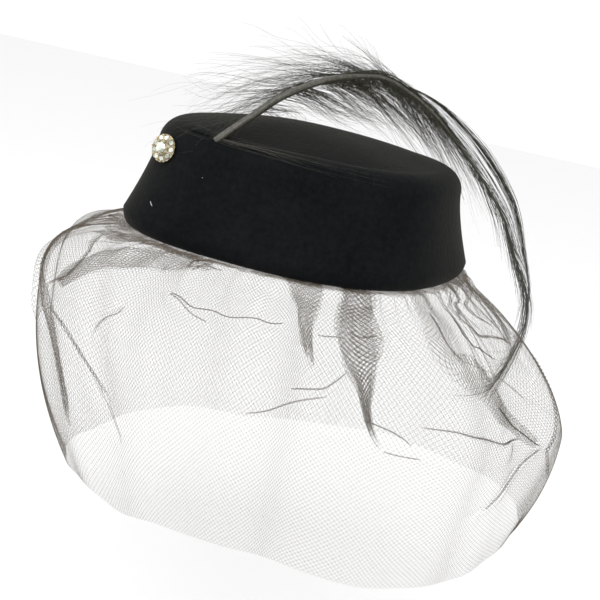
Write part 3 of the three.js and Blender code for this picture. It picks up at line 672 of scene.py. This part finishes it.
# broad folds: angle, half width in degrees, depth share, where they fade
broadFolds = [(301, 7, -0.8, 0.75), (318, 9, -1.0, 0.95), (340, 8, 0.7, 0.80), (2, 8, -0.9, 0.90),
              (40, 9, -0.8, 0.90), (80, 8, 0.6, 0.70), (120, 10, -0.8, 0.85), (165, 9, -0.7, 0.80),
              (205, 8, -0.8, 0.90), (228, 8, 0.6, 0.65), (262, 9, -0.5, 0.60)]
# sharp creases: the share of the net's length by angle, or the angle by share, and their depth in mm
levelCreases = [
    dict(angle=[261, 264, 270, 276, 282, 290, 299],
         share=[0.335, 0.350, 0.338, 0.340, 0.338, 0.315, 0.305], depth=2.6),
    dict(angle=[261, 268, 276], share=[0.338, 0.365, 0.380], depth=1.6),
    dict(angle=[290, 296, 302, 306, 309], share=[0.568, 0.535, 0.502, 0.475, 0.455], depth=2.0),
    dict(angle=[300, 306, 310, 313], share=[0.475, 0.448, 0.423, 0.388], depth=2.2),
    dict(angle=[330, 337, 344, 352, 356], share=[0.453, 0.448, 0.463, 0.488, 0.488], depth=2.4),
    dict(angle=[319, 322, 325, 328], share=[0.485, 0.483, 0.490, 0.502], depth=1.6),
    dict(angle=[321, 325, 329], share=[0.540, 0.537, 0.535], depth=1.3),
    dict(angle=[84, 88, 96, 102], share=[0.590, 0.620, 0.647, 0.645], depth=2.2),
    dict(angle=[120, 132, 145], share=[0.420, 0.455, 0.440], depth=2.0),
    dict(angle=[160, 172, 184], share=[0.500, 0.470, 0.480], depth=2.0),
    dict(angle=[40, 52, 62], share=[0.560, 0.530, 0.545], depth=2.0)]
steepCreases = [
    dict(share=[0.152, 0.275, 0.372, 0.445, 0.502], angle=[227, 235, 236, 235, 229], depth=3.0),
    dict(share=[0.125, 0.227, 0.323, 0.465, 0.600], angle=[220, 220, 222, 222, 223], depth=4.0),
    dict(share=[0.547, 0.600, 0.652, 0.710, 0.770], angle=[231, 244, 250, 255, 258], depth=1.8),
    dict(share=[0.428, 0.488, 0.547], angle=[254, 250, 247], depth=1.2),
    dict(share=[0.540, 0.585, 0.640, 0.693, 0.737], angle=[369, 362, 356, 351, 346], depth=1.2),
    dict(share=[0.107, 0.168, 0.203, 0.260], angle=[374, 364, 360, 355], depth=3.0),
    dict(share=[0.122, 0.170, 0.208, 0.268], angle=[378, 367, 363, 369], depth=3.0),
    dict(share=[0.103, 0.152, 0.198], angle=[368, 356, 356], depth=2.0),
    dict(share=[0.12, 0.30, 0.48], angle=[150, 146, 149], depth=2.6),
    dict(share=[0.12, 0.26, 0.42], angle=[100, 103, 99], depth=2.6)]


def hangAt(column, angle):
    # a column of the hang table at any angle, as a smooth closed curve through its rows:
    # start + leave*t + square*t^2 + cubic*t^3
    rows = np.array(hang[column])
    turn = (angle - np.radians(veil["turn"])) / (2 * np.pi) * len(rows)
    row = np.floor(turn).astype(int)
    part = turn - row
    before, start, end, after = (rows[(row + step) % len(rows)] for step in (-1, 0, 1, 2))
    leave, arrive = (end - before) / 2, (after - start) / 2
    cubic = 2 * (start - end) + leave + arrive
    square = 3 * (end - start) - 2 * leave - arrive
    return ((cubic * part + square) * part + leave) * part + start


def netMiddle(share, angle):
    # radius and height: straight down the band inside the rim, a full shoulder to the widest place with
    # sin^power out and cos^power down, then a parabola in to the hem
    start = ovalRadius(crown["rimLength"] / 2 - veil["inset"], crown["rimWidth"] / 2 - veil["inset"], angle)
    rim = ovalRadius(crown["rimLength"] / 2, crown["rimWidth"] / 2, angle)
    widestRadius = rim + veil["flare"] * hangAt("stand", angle)
    hemRadius = rim + veil["flare"] * hangAt("hemStand", angle)
    widestHeight = -veil["drop"] * hangAt("widest", angle)
    hemHeight = -veil["drop"] * hangAt("drop", angle)
    power = 2 / hangAt("full", angle)
    passed = (share - veil["bandShare"]) / (veil["shoulderShare"] - veil["bandShare"])
    turn = np.pi / 2 * np.clip(passed, 0, 1)
    radius = start + (widestRadius - start) * np.sin(turn) ** power
    height = widestHeight + (veil["under"] - widestHeight) * np.maximum(np.cos(turn), 0) ** power
    inBand = veil["bandTop"] + (veil["under"] - veil["bandTop"]) * share / veil["bandShare"]
    height = np.where(share < veil["bandShare"], inBand, height)
    held = 1 - smoothStep(radius - rim, 1, 8)  # the rim holds the net up until it is clear of the felt
    height = height + (np.maximum(height, veil["under"]) - height) * held
    low = np.maximum((share - veil["shoulderShare"]) / (1 - veil["shoulderShare"]), 0)
    radius = np.where(low > 0, widestRadius + (hemRadius - widestRadius) * low ** 2, radius)
    height = np.where(low > 0, widestHeight + (hemHeight - widestHeight) * low, height)
    return radius, height, rim


def turnFrom(angle, degrees):
    # signed turn from an angle, in degrees, -180..180
    return (np.degrees(angle) - degrees + 180) % 360 - 180


def creaseShape(distance, depth):
    # a short cliff: the net steps out by depth within about a millimetre and comes back over ten, as
    # depth * tanh(distance / 0.7) * exp(-(distance / 7)^2)
    return depth * np.tanh(distance / 0.7) * np.exp(-(distance / 7.0) ** 2)


def netRelief(share, angle, radius, rim, sharp):
    # a distance outwards: gathers by the rim, a sum of three uneven waves that fades down the net; broad folds,
    # foldDepth * depth * exp(-(turn / width)^2); and, when sharp, the creases
    clear = smoothStep(radius - rim, 2, 16)
    fine = (np.sin(43 * angle + 1.7 * np.sin(5 * angle))
            + 0.7 * np.sin(71 * angle + 2.2 * np.sin(3 * angle + 1))
            + 0.5 * np.sin(97 * angle + 1.3 * np.sin(7 * angle)))
    relief = veil["gatherDepth"] * 0.62 * fine * (1 - smoothStep(share, 0.12, 0.42))
    relief = relief * smoothStep(radius - rim, -5, 6)
    relief = relief + veil["ripple"] * np.sin(24 * angle + 2 * np.sin(2 * angle)) * clear
    for degrees, width, depth, fade in broadFolds:
        bell = np.exp(-(turnFrom(angle, degrees) / width) ** 2)
        fold = clear * veil["foldDepth"] * depth * bell
        relief = relief + fold * (1 - smoothStep(share, fade * 0.5, fade))
    for crease in levelCreases if sharp else []:
        turn = turnFrom(angle, crease["angle"][0])
        span = crease["angle"][-1] - crease["angle"][0]
        middle = np.interp(turn, np.array(crease["angle"]) - crease["angle"][0], crease["share"])
        ends = smoothStep(turn, -2, 3) * (1 - smoothStep(turn, span - 3, span + 2))
        relief = relief + creaseShape((share - middle) * veil["length"], crease["depth"]) * ends
    for crease in steepCreases if sharp else []:
        middle = np.interp(share, crease["share"], crease["angle"])
        ends = smoothStep(share, crease["share"][0] - 0.03, crease["share"][0] + 0.02)
        ends = ends * (1 - smoothStep(share, crease["share"][-1] - 0.03, crease["share"][-1] + 0.04))
        distance = np.radians(turnFrom(angle, middle)) * radius
        relief = relief + creaseShape(distance, crease["depth"]) * ends * smoothStep(radius - rim, -3, 5)
    return relief


def netPoint(share, angle, lift=0.0, sharp=True):
    # the middle surface with its relief: x = r*cos + lean, y = r*sin, z = height - droop + hem's wave; the net
    # droops a little between the gathers, and in the band it leans back with the crown
    radius, height, rim = netMiddle(share, angle)
    full = radius + netRelief(share, angle, radius, rim, sharp) + lift
    droop = 1.6 * (0.5 + 0.5 * np.sin(31 * angle))
    droop = droop * smoothStep(share, 0.13, 0.22) * (1 - smoothStep(share, 0.3, 0.5))
    lean = crown["backLean"] * np.maximum(height, 0) / crown["height"]
    hemWave = 2.5 * np.sin(5 * angle + 0.8) + 1.5 * np.sin(11 * angle)
    z = height - droop + hemWave * smoothStep(share, 0.75, 1.0) * 0.5
    return np.stack([full * np.cos(angle) + lean, full * np.sin(angle), z], -1)


def netThreads(surface, width, length, columns, limits=None):
    # a net of four-cornered holes, a hole wide and two rises tall: each thread zigzags across it and is
    # knotted to the next one at every peak, v = rise * (row + 1/2 + 1/2 * (-1)^(column + row)). columns:
    # first and last half hole of this panel; limits: where it starts and ends, 0..1. Each leg of thread is a
    # three-sided rod with open ends and sides as wide as the thread.
    column = np.arange(columns[0], columns[1] + 1)
    row = np.arange(int(length / veil["rise"]))
    odd = (-1.0) ** (column[None, :] + row[:, None])
    u = np.broadcast_to(column[None, :] * veil["hole"] / 2 / width, odd.shape)
    v = np.clip(veil["rise"] * (row[:, None] + 0.5 + 0.5 * odd) / length, 0, 1)
    step = 0.3
    point = surface(u, v)
    across = surface(u + step / width, v) - surface(u - step / width, v)
    down = surface(u, v + step / length) - surface(u, v - step / length)
    normal = unit(np.cross(across, down))
    inside = np.ones_like(v, bool) if limits is None else (v >= limits[0]) & (v <= limits[1])
    legs = inside[:, :-1] & inside[:, 1:]
    start, end = point[:, :-1][legs], point[:, 1:][legs]
    ahead = unit(end - start)
    side = unit(np.cross(normal[:, :-1][legs], ahead))
    facing = np.cross(ahead, side)
    ring = side[:, None] * np.cos(rodTurns) + facing[:, None] * np.sin(rodTurns)
    ring = veil["thread"] / np.sqrt(3) * ring
    points = np.concatenate([start[:, None] + ring, end[:, None] + ring], 1).reshape(-1, 3)
    corner = np.arange(3)
    nextCorner = (corner + 1) % 3
    first = 6 * np.arange(len(start))[:, None]
    quads = np.stack([first + corner, first + nextCorner, first + 3 + nextCorner, first + 3 + corner], -1)
    return points, [quads.reshape(-1, 4)]


def netPiece(name, parts):
    # one mesh from points and faces of threads
    sizes = np.cumsum([0] + [len(points) for points, quads in parts])
    quads = [quad + size for (points, quadSets), size in zip(parts, sizes) for quad in quadSets]
    piece = addMesh(name, np.concatenate([points for points, quadSets in parts]), quads, netThread)
    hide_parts("veil")
    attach(piece, "root")
    return piece


def mainNet(u, v):
    # the whole way round, bunched a little: angle = 2 pi u + 0.02*sin(9 turns) + 0.012*sin(17 turns + 2)
    angle = 2 * np.pi * u + 0.02 * np.sin(9 * 2 * np.pi * u) + 0.012 * np.sin(17 * 2 * np.pi * u + 2)
    return netPoint(v, angle)


netPieces = []
halfHole = veil["hole"] / 2
halfHoles = int(veil["width"] / halfHole)
marks = np.linspace(0, halfHoles, veil["panels"] + 1).astype(int)
for panel, ends in enumerate(zip(marks[:-1], marks[1:]), 1):
    threads = netThreads(mainNet, halfHoles * halfHole, veil["length"], ends)
    netPieces.append(netPiece("veilNet%d" % panel, [threads]))
print("net made", sum(len(piece.data.polygons) for piece in netPieces))

# Pleats are net folded to and fro in a band along a path. angle and share: points evenly along its middle;
# half: its half width there in mm, or one number for a slim fold; layers: how many lie in it; deep: how far
# they stand in and out in mm; inside: how far behind the main net it lies; frayed: how much of the length
# they lose one by one; bunched: how many times longer the net is than the path that it is gathered along
farPleat = dict(layers=4, deep=0.6, inside=1.0, frayed=0.3)
pleats = dict(
    veilPleatFront=[
        dict(angle=[300, 301, 302, 302, 303, 304, 305],
             share=[0.100, 0.196, 0.253, 0.300, 0.343, 0.378, 0.411],
             half=[9.6, 7.6, 5.7, 4.5, 3.6, 2.4, 1.3], layers=5, deep=0.5, inside=1.2, frayed=0.30)],
    veilPleatMiddle=[
        dict(angle=[317, 316, 316, 316.5, 318, 318.5, 320, 323],
             share=[0.100, 0.215, 0.290, 0.350, 0.400, 0.450, 0.500, 0.545],
             half=[7.0, 10.2, 11.6, 9.4, 4.8, 2.4, 1.3, 0.6], layers=7, deep=0.5, inside=1.2, frayed=0.34)],
    veilPleatBack=[
        dict(angle=[339, 337, 337, 345, 352, 359, 368],
             share=[0.107, 0.223, 0.299, 0.340, 0.385, 0.446, 0.525],
             half=[6.8, 5.0, 7.2, 8.6, 7.8, 5.0, 2.8], layers=2, deep=0.4, inside=1.0, frayed=0.04)],
    veilPleatUnderRim=[
        dict(angle=[234, 238, 242, 247, 253, 262, 272],
             share=[0.468, 0.371, 0.285, 0.232, 0.180, 0.156, 0.154],
             half=[3.0, 6.0, 9.2, 13.0, 12.5, 9.6, 5.0], layers=3, deep=0.8, inside=-0.8, frayed=0.10),
        dict(angle=[228, 236, 239, 244, 251, 258, 266],
             share=[0.156, 0.161, 0.130, 0.118, 0.119, 0.131, 0.150],
             half=[5.0, 4.6, 5.0, 5.0, 4.6, 3.8, 2.2], layers=3, deep=0.9, inside=-0.5, frayed=0.10)],
    veilGatherRim=[
        dict(angle=[200, 230, 260, 290, 320, 350, 380, 410],
             share=[0.118] * 8, half=[5.6] * 8, layers=1, deep=0.4,
             inside=-0.4, frayed=0.06, bunched=1.5)],
    veilPleatEdge=[
        dict(angle=[211, 217, 224, 230, 235, 238, 238],
             share=[0.234, 0.393, 0.512, 0.576, 0.654, 0.739, 0.839],
             half=[13.0, 11.0, 6.1, 4.8, 3.6, 3.0, 1.6], layers=3, deep=0.6, inside=0.6, frayed=0.15)],
    veilFoldsLeft=[
        dict(angle=[229, 235, 236, 235, 229], share=[0.163, 0.268, 0.352, 0.432, 0.502], half=0.9, layers=3),
        dict(angle=[228, 239, 246, 254, 258],
             share=[0.545, 0.570, 0.623, 0.675, 0.752], half=1.2, layers=3, frayed=0.4),
        dict(angle=[261, 270, 280, 290, 299], share=[0.333, 0.348, 0.338, 0.318, 0.305], half=0.7, layers=3),
        dict(angle=[262, 266, 270, 273, 277], share=[0.338, 0.352, 0.365, 0.375, 0.383], half=0.5, layers=2),
        dict(angle=[254, 253, 250, 248, 247], share=[0.427, 0.458, 0.487, 0.520, 0.547], half=0.5, layers=2),
        dict(angle=[290, 296, 300, 305, 310], share=[0.568, 0.538, 0.510, 0.477, 0.448], half=0.8, layers=3),
        dict(angle=[300, 304, 308, 311, 314], share=[0.475, 0.458, 0.440, 0.412, 0.380], half=0.9, layers=3),
        dict(angle=[215, 208, 208, 213, 219], share=[0.107, 0.158, 0.225, 0.295, 0.367], half=1.2, layers=3),
        dict(angle=[220, 220, 220, 222, 223], share=[0.115, 0.200, 0.300, 0.410, 0.500], half=1.5, layers=4),
        dict(angle=[261, 264, 267, 272, 278], share=[0.182, 0.152, 0.128, 0.122, 0.145], half=1.2, layers=4),
        dict(angle=[264, 265, 266, 270, 274], share=[0.228, 0.198, 0.165, 0.167, 0.172], half=1.0, layers=3)],
    veilFoldsRight=[
        dict(angle=[328, 336, 343, 351, 362], share=[0.458, 0.448, 0.460, 0.482, 0.492], half=0.7, layers=3),
        dict(angle=[318, 321, 324, 326, 328], share=[0.482, 0.482, 0.485, 0.492, 0.505], half=0.6, layers=3),
        dict(angle=[322, 324, 326, 328, 330], share=[0.540, 0.540, 0.538, 0.535, 0.532], half=0.5, layers=2),
        dict(angle=[339, 338, 338, 339, 342], share=[0.175, 0.220, 0.255, 0.282, 0.302], half=0.8, layers=3),
        dict(angle=[351, 354, 358, 363, 369], share=[0.398, 0.420, 0.450, 0.482, 0.540], half=0.9, layers=4),
        dict(angle=[369, 362, 357, 351, 347], share=[0.540, 0.585, 0.640, 0.688, 0.738], half=0.8, layers=3),
        dict(angle=[372, 365, 358, 362, 375], share=[0.095, 0.175, 0.233, 0.272, 0.300], half=1.4, layers=4),
        dict(angle=[378, 370, 367, 367, 370], share=[0.125, 0.170, 0.205, 0.237, 0.265], half=1.1, layers=3),
        dict(angle=[346, 348, 352, 358, 364], share=[0.210, 0.250, 0.282, 0.305, 0.325], half=0.9, layers=3),
        dict(angle=[389, 382, 376, 370, 376], share=[0.340, 0.395, 0.458, 0.562, 0.782], half=1.4, layers=3),
        dict(angle=[314, 316, 317, 320, 322], share=[0.285, 0.290, 0.292, 0.287, 0.282], half=0.7, layers=3),
        dict(angle=[305, 307, 309, 311, 314], share=[0.312, 0.312, 0.310, 0.310, 0.307], half=0.7, layers=3)],
    veilPleatsFar=[
        dict(farPleat, angle=[36, 34, 35, 38], share=[0.10, 0.20, 0.30, 0.40], half=[5, 4.4, 3.0, 0.9]),
        dict(farPleat, angle=[58, 60, 60, 57], share=[0.10, 0.17, 0.25, 0.33], half=[4, 3.4, 2.4, 0.8]),
        dict(farPleat, angle=[84, 82, 83, 86], share=[0.10, 0.21, 0.32, 0.43], half=[6, 5.0, 3.4, 0.9]),
        dict(farPleat, angle=[112, 113, 111, 110], share=[0.10, 0.17, 0.24, 0.31], half=[4, 3.6, 2.4, 0.8]),
        dict(farPleat, angle=[136, 135, 137, 140], share=[0.10, 0.20, 0.30, 0.39], half=[5, 4.6, 3.0, 0.8]),
        dict(farPleat, angle=[163, 166, 167, 165], share=[0.10, 0.18, 0.27, 0.36], half=[5, 4.0, 2.6, 0.8]),
        dict(farPleat, angle=[190, 188, 190, 193], share=[0.10, 0.19, 0.29, 0.40], half=[5, 4.2, 2.8, 0.8])])
slimFold = dict(deep=1.1, inside=0.3, frayed=0.15)  # what a slim fold has unless its row says otherwise


def pleatThreads(pleat):
    # the layers run to and fro between the band's edges: middle + zigzag(layers*u)*half width across the path,
    # with a second zigzag, half a layer later, in and out. Widths, slips and frays differ by layer
    local = np.random.default_rng(int(1000 * pleat["share"][0] + pleat["angle"][0]))
    slim = np.ndim(pleat["half"]) == 0
    pleat = dict(slimFold, **pleat)
    part = np.linspace(0, 1, 101)
    marksAt = np.linspace(0, 1, len(pleat["angle"]))
    smooth = np.hanning(17) / np.hanning(17).sum()
    def track(values):  # the points joined by straight lines, and the corners rounded by a running mean
        values = np.interp(part, marksAt, values)
        padded = np.concatenate([2 * values[0] - values[8:0:-1], values, 2 * values[-1] - values[-2:-10:-1]])
        return np.convolve(padded, smooth, "valid")
    degrees, shares = track(pleat["angle"]), track(pleat["share"])
    if slim:
        half = pleat["half"] * 0.55 * (0.30 + 0.70 * np.sin(np.pi * part) ** 0.7)
    else:
        half = 1.08 * np.interp(part, marksAt, pleat["half"])
    angles = np.radians(degrees)
    radius, height, rim = netMiddle(shares, angles)
    middle = np.stack([radius * np.cos(angles), radius * np.sin(angles), height], 1)
    reach = np.concatenate([[0], np.cumsum(np.linalg.norm(np.diff(middle, axis=0), axis=1))])
    reach = reach * pleat.get("bunched", 1)
    length = reach[-1]
    goesRound = np.gradient(angles) * radius
    goesDown = np.gradient(shares) * veil["length"]
    whole = np.hypot(goesRound, goesDown)
    layers = pleat["layers"] + 1 if slim else pleat["layers"]
    folds = layers + 2
    wobble = local.uniform(0.55, 1.10, folds) if slim else local.uniform(0.88, 1.06, folds)
    slip = local.uniform(-0.9, 0.9, folds) * (0.2 if slim else 1)
    phase = local.uniform(0, 6.3, folds)
    sway, fan = (0.0, 0.1) if slim else (0.18, 0.35)
    def zigzag(turns):  # 1, -1, 1, -1 at 0, 1, 2, 3, and straight between them
        return 1 - 2 * np.abs(((turns / 2) % 1) * 2 - 1)
    def surface(u, v):
        at = np.clip(v, 0, 1) * length
        fold = np.clip(u, 0, 1) * layers
        count = np.minimum(fold.astype(int), layers - 1)
        blend = fold - count
        def own(table):
            return table[count] * (1 - blend) + table[count + 1] * blend
        across = np.interp(at, reach, half) * zigzag(fold) * own(wobble)
        across = across * (1 + sway * np.sin(at / 9 + own(phase)))
        width = np.interp(at, reach, radius)
        level = np.interp(at, reach, goesRound / whole)
        down = np.interp(at, reach, goesDown / whole)
        angle = np.radians(np.interp(at, reach, degrees)) - down * across / width
        share = np.interp(at, reach, shares) + (level * across + own(slip)) / veil["length"]
        lift = -pleat["inside"] + pleat["deep"] * zigzag(fold + 0.5) + fan * (fold - layers / 2)
        return netPoint(share, angle, lift, sharp=False)
    width = 2 * float(np.mean(np.hypot(half, pleat["deep"]))) * layers
    columns = max(int(round(width / halfHole)), 3)
    frayed = pleat["frayed"]
    ends = 1 - frayed * local.uniform(0, 1, columns + 1) * local.uniform(0.5, 1, columns + 1)
    starts = frayed * 0.5 * local.uniform(0, 1, columns + 1) if slim else np.zeros(columns + 1)
    threads = netThreads(surface, columns * halfHole, length, (0, columns), (starts, ends))
    return threads, columns * halfHole, length


for name, rows in pleats.items():
    made = [pleatThreads(row) for row in rows]
    netPieces.append(netPiece(name, [threads for threads, width, length in made]))
print("pleats made", [len(piece.data.polygons) for piece in netPieces[veil["panels"]:]])

# Stud

def dress(name, material):
    # gives a CAD node its material
    node = bpy.data.objects[name]
    node.data.materials.clear()
    node.data.materials.append(material)


dress("stud_setting", gilt)
dress("stud_stone_center", cutGlass)
ringStones = 9
for number in range(ringStones):
    dress("stud_stone_%d" % (number + 1), cutGlass)
print("stud dressed")

# Lint specks on the felt

lint = plainMaterial("lint", (0.72, 0.71, 0.68), 0.8)
lintLie = dict(level=1.09, falling=0.59, lift=0.45, steps=9)  # its way along the felt, and its height over it


def lintSpeck(name, along, degrees, length, radius):
    # a short thread that lies on the felt in a shallow arc:
    # place + length*t*(level*level way - falling*rising way) + (lift - t^2)*normal, for t from -1/2 to 1/2
    place, level, rising, normal = feltFrame(along, degrees)
    part = np.linspace(-0.5, 0.5, lintLie["steps"])[None, :, None]
    path = place + level * part * length * lintLie["level"] - rising * part * length * lintLie["falling"]
    path = path + normal * (lintLie["lift"] - part ** 2)
    radii = radius * (1 - 1.2 * part[..., 0] ** 2)
    points, quads = threadSweep(path, radii, np.broadcast_to(normal, path.shape))
    piece = addMesh(name, points, [quads], lint)
    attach(piece, "root")


lintSpeck("lintSpeck1", 0.24, 233.5, 3.6, 0.24)
lintSpeck("lintSpeck2", 0.76, 250, 0.8, 0.07)

# Floor, light and camera

studio = dict(floorHalf=3000, floorHeight=-260, floorColor=(0.91, 0.91, 0.91), floorRoughness=0.9, sky=1.01)
corners = np.array([[-1, -1], [1, -1], [1, 1], [-1, 1]]) * studio["floorHalf"]
corners = np.column_stack([corners, np.full(4, studio["floorHeight"])])
paleFloor = plainMaterial("paleFloor", studio["floorColor"], studio["floorRoughness"])
floorPiece = addMesh("floor", corners, [np.array([[0, 1, 2, 3]])], paleFloor, smooth=False)

world = bpy.data.worlds.new("studio")
bpy.context.scene.world = world
world.use_nodes = True
world.node_tree.nodes["Background"].inputs["Color"].default_value = (1, 1, 1, 1)
world.node_tree.nodes["Background"].inputs["Strength"].default_value = studio["sky"]


def turned(right, up, back, place):
    # the matrix that has right, up and back as its columns, moved to place
    matrix = Matrix([[*row] for row in np.stack([right, up, back], 1)]).to_4x4()
    matrix.translation = place
    return matrix


def areaLight(name, place, target, size, power):
    # a square light, size metres wide, that stands at place and shines at target
    light = bpy.data.lights.new(name, "AREA")
    light.size = size
    light.energy = power
    holder = bpy.data.objects.new(name, light)
    bpy.context.scene.collection.objects.link(holder)
    back = unit(np.array(place) - np.array(target))
    right = unit(np.cross([0, 0, 1], back))
    holder.matrix_world = turned(right, np.cross(back, right), back, place)


areaLight("keyLight", (0.5, -1.2, 1.5), (0, 0, 0), 1.0, 14)
areaLight("fillLight", (-1.3, -0.9, 0.7), (0, 0, 0), 1.2, 6)
# the studio's white is plain white in the picture, without a film curve
bpy.context.scene.view_settings.view_transform = "Standard"

# the camera looks a little down on the hat from its right, and the hat is seen rolled clockwise
view = dict(place=(0.35646995, -0.76829173, 0.16863884), right=(0.88147349, 0.44098726, 0.16892226),
            up=(-0.25105769, 0.13464869, 0.9585613), back=(0.39996816, -0.8873556, 0.2294025), lens=90.46)
camera = bpy.data.cameras.new("camera")
camera.lens = view["lens"]
camera.sensor_width = 36
camera.clip_start = 0.01
cameraHolder = bpy.data.objects.new("camera", camera)
bpy.context.scene.collection.objects.link(cameraHolder)
cameraHolder.matrix_world = turned(view["right"], view["up"], view["back"], view["place"])
bpy.context.scene.camera = cameraHolder
print("camera set")

added = [crownFelt, *plumePieces, *netPieces]
triangles = [len(piece.data.loops) - 2 * len(piece.data.polygons) for piece in added]
print("triangles", sum(triangles), "largest", max(triangles))
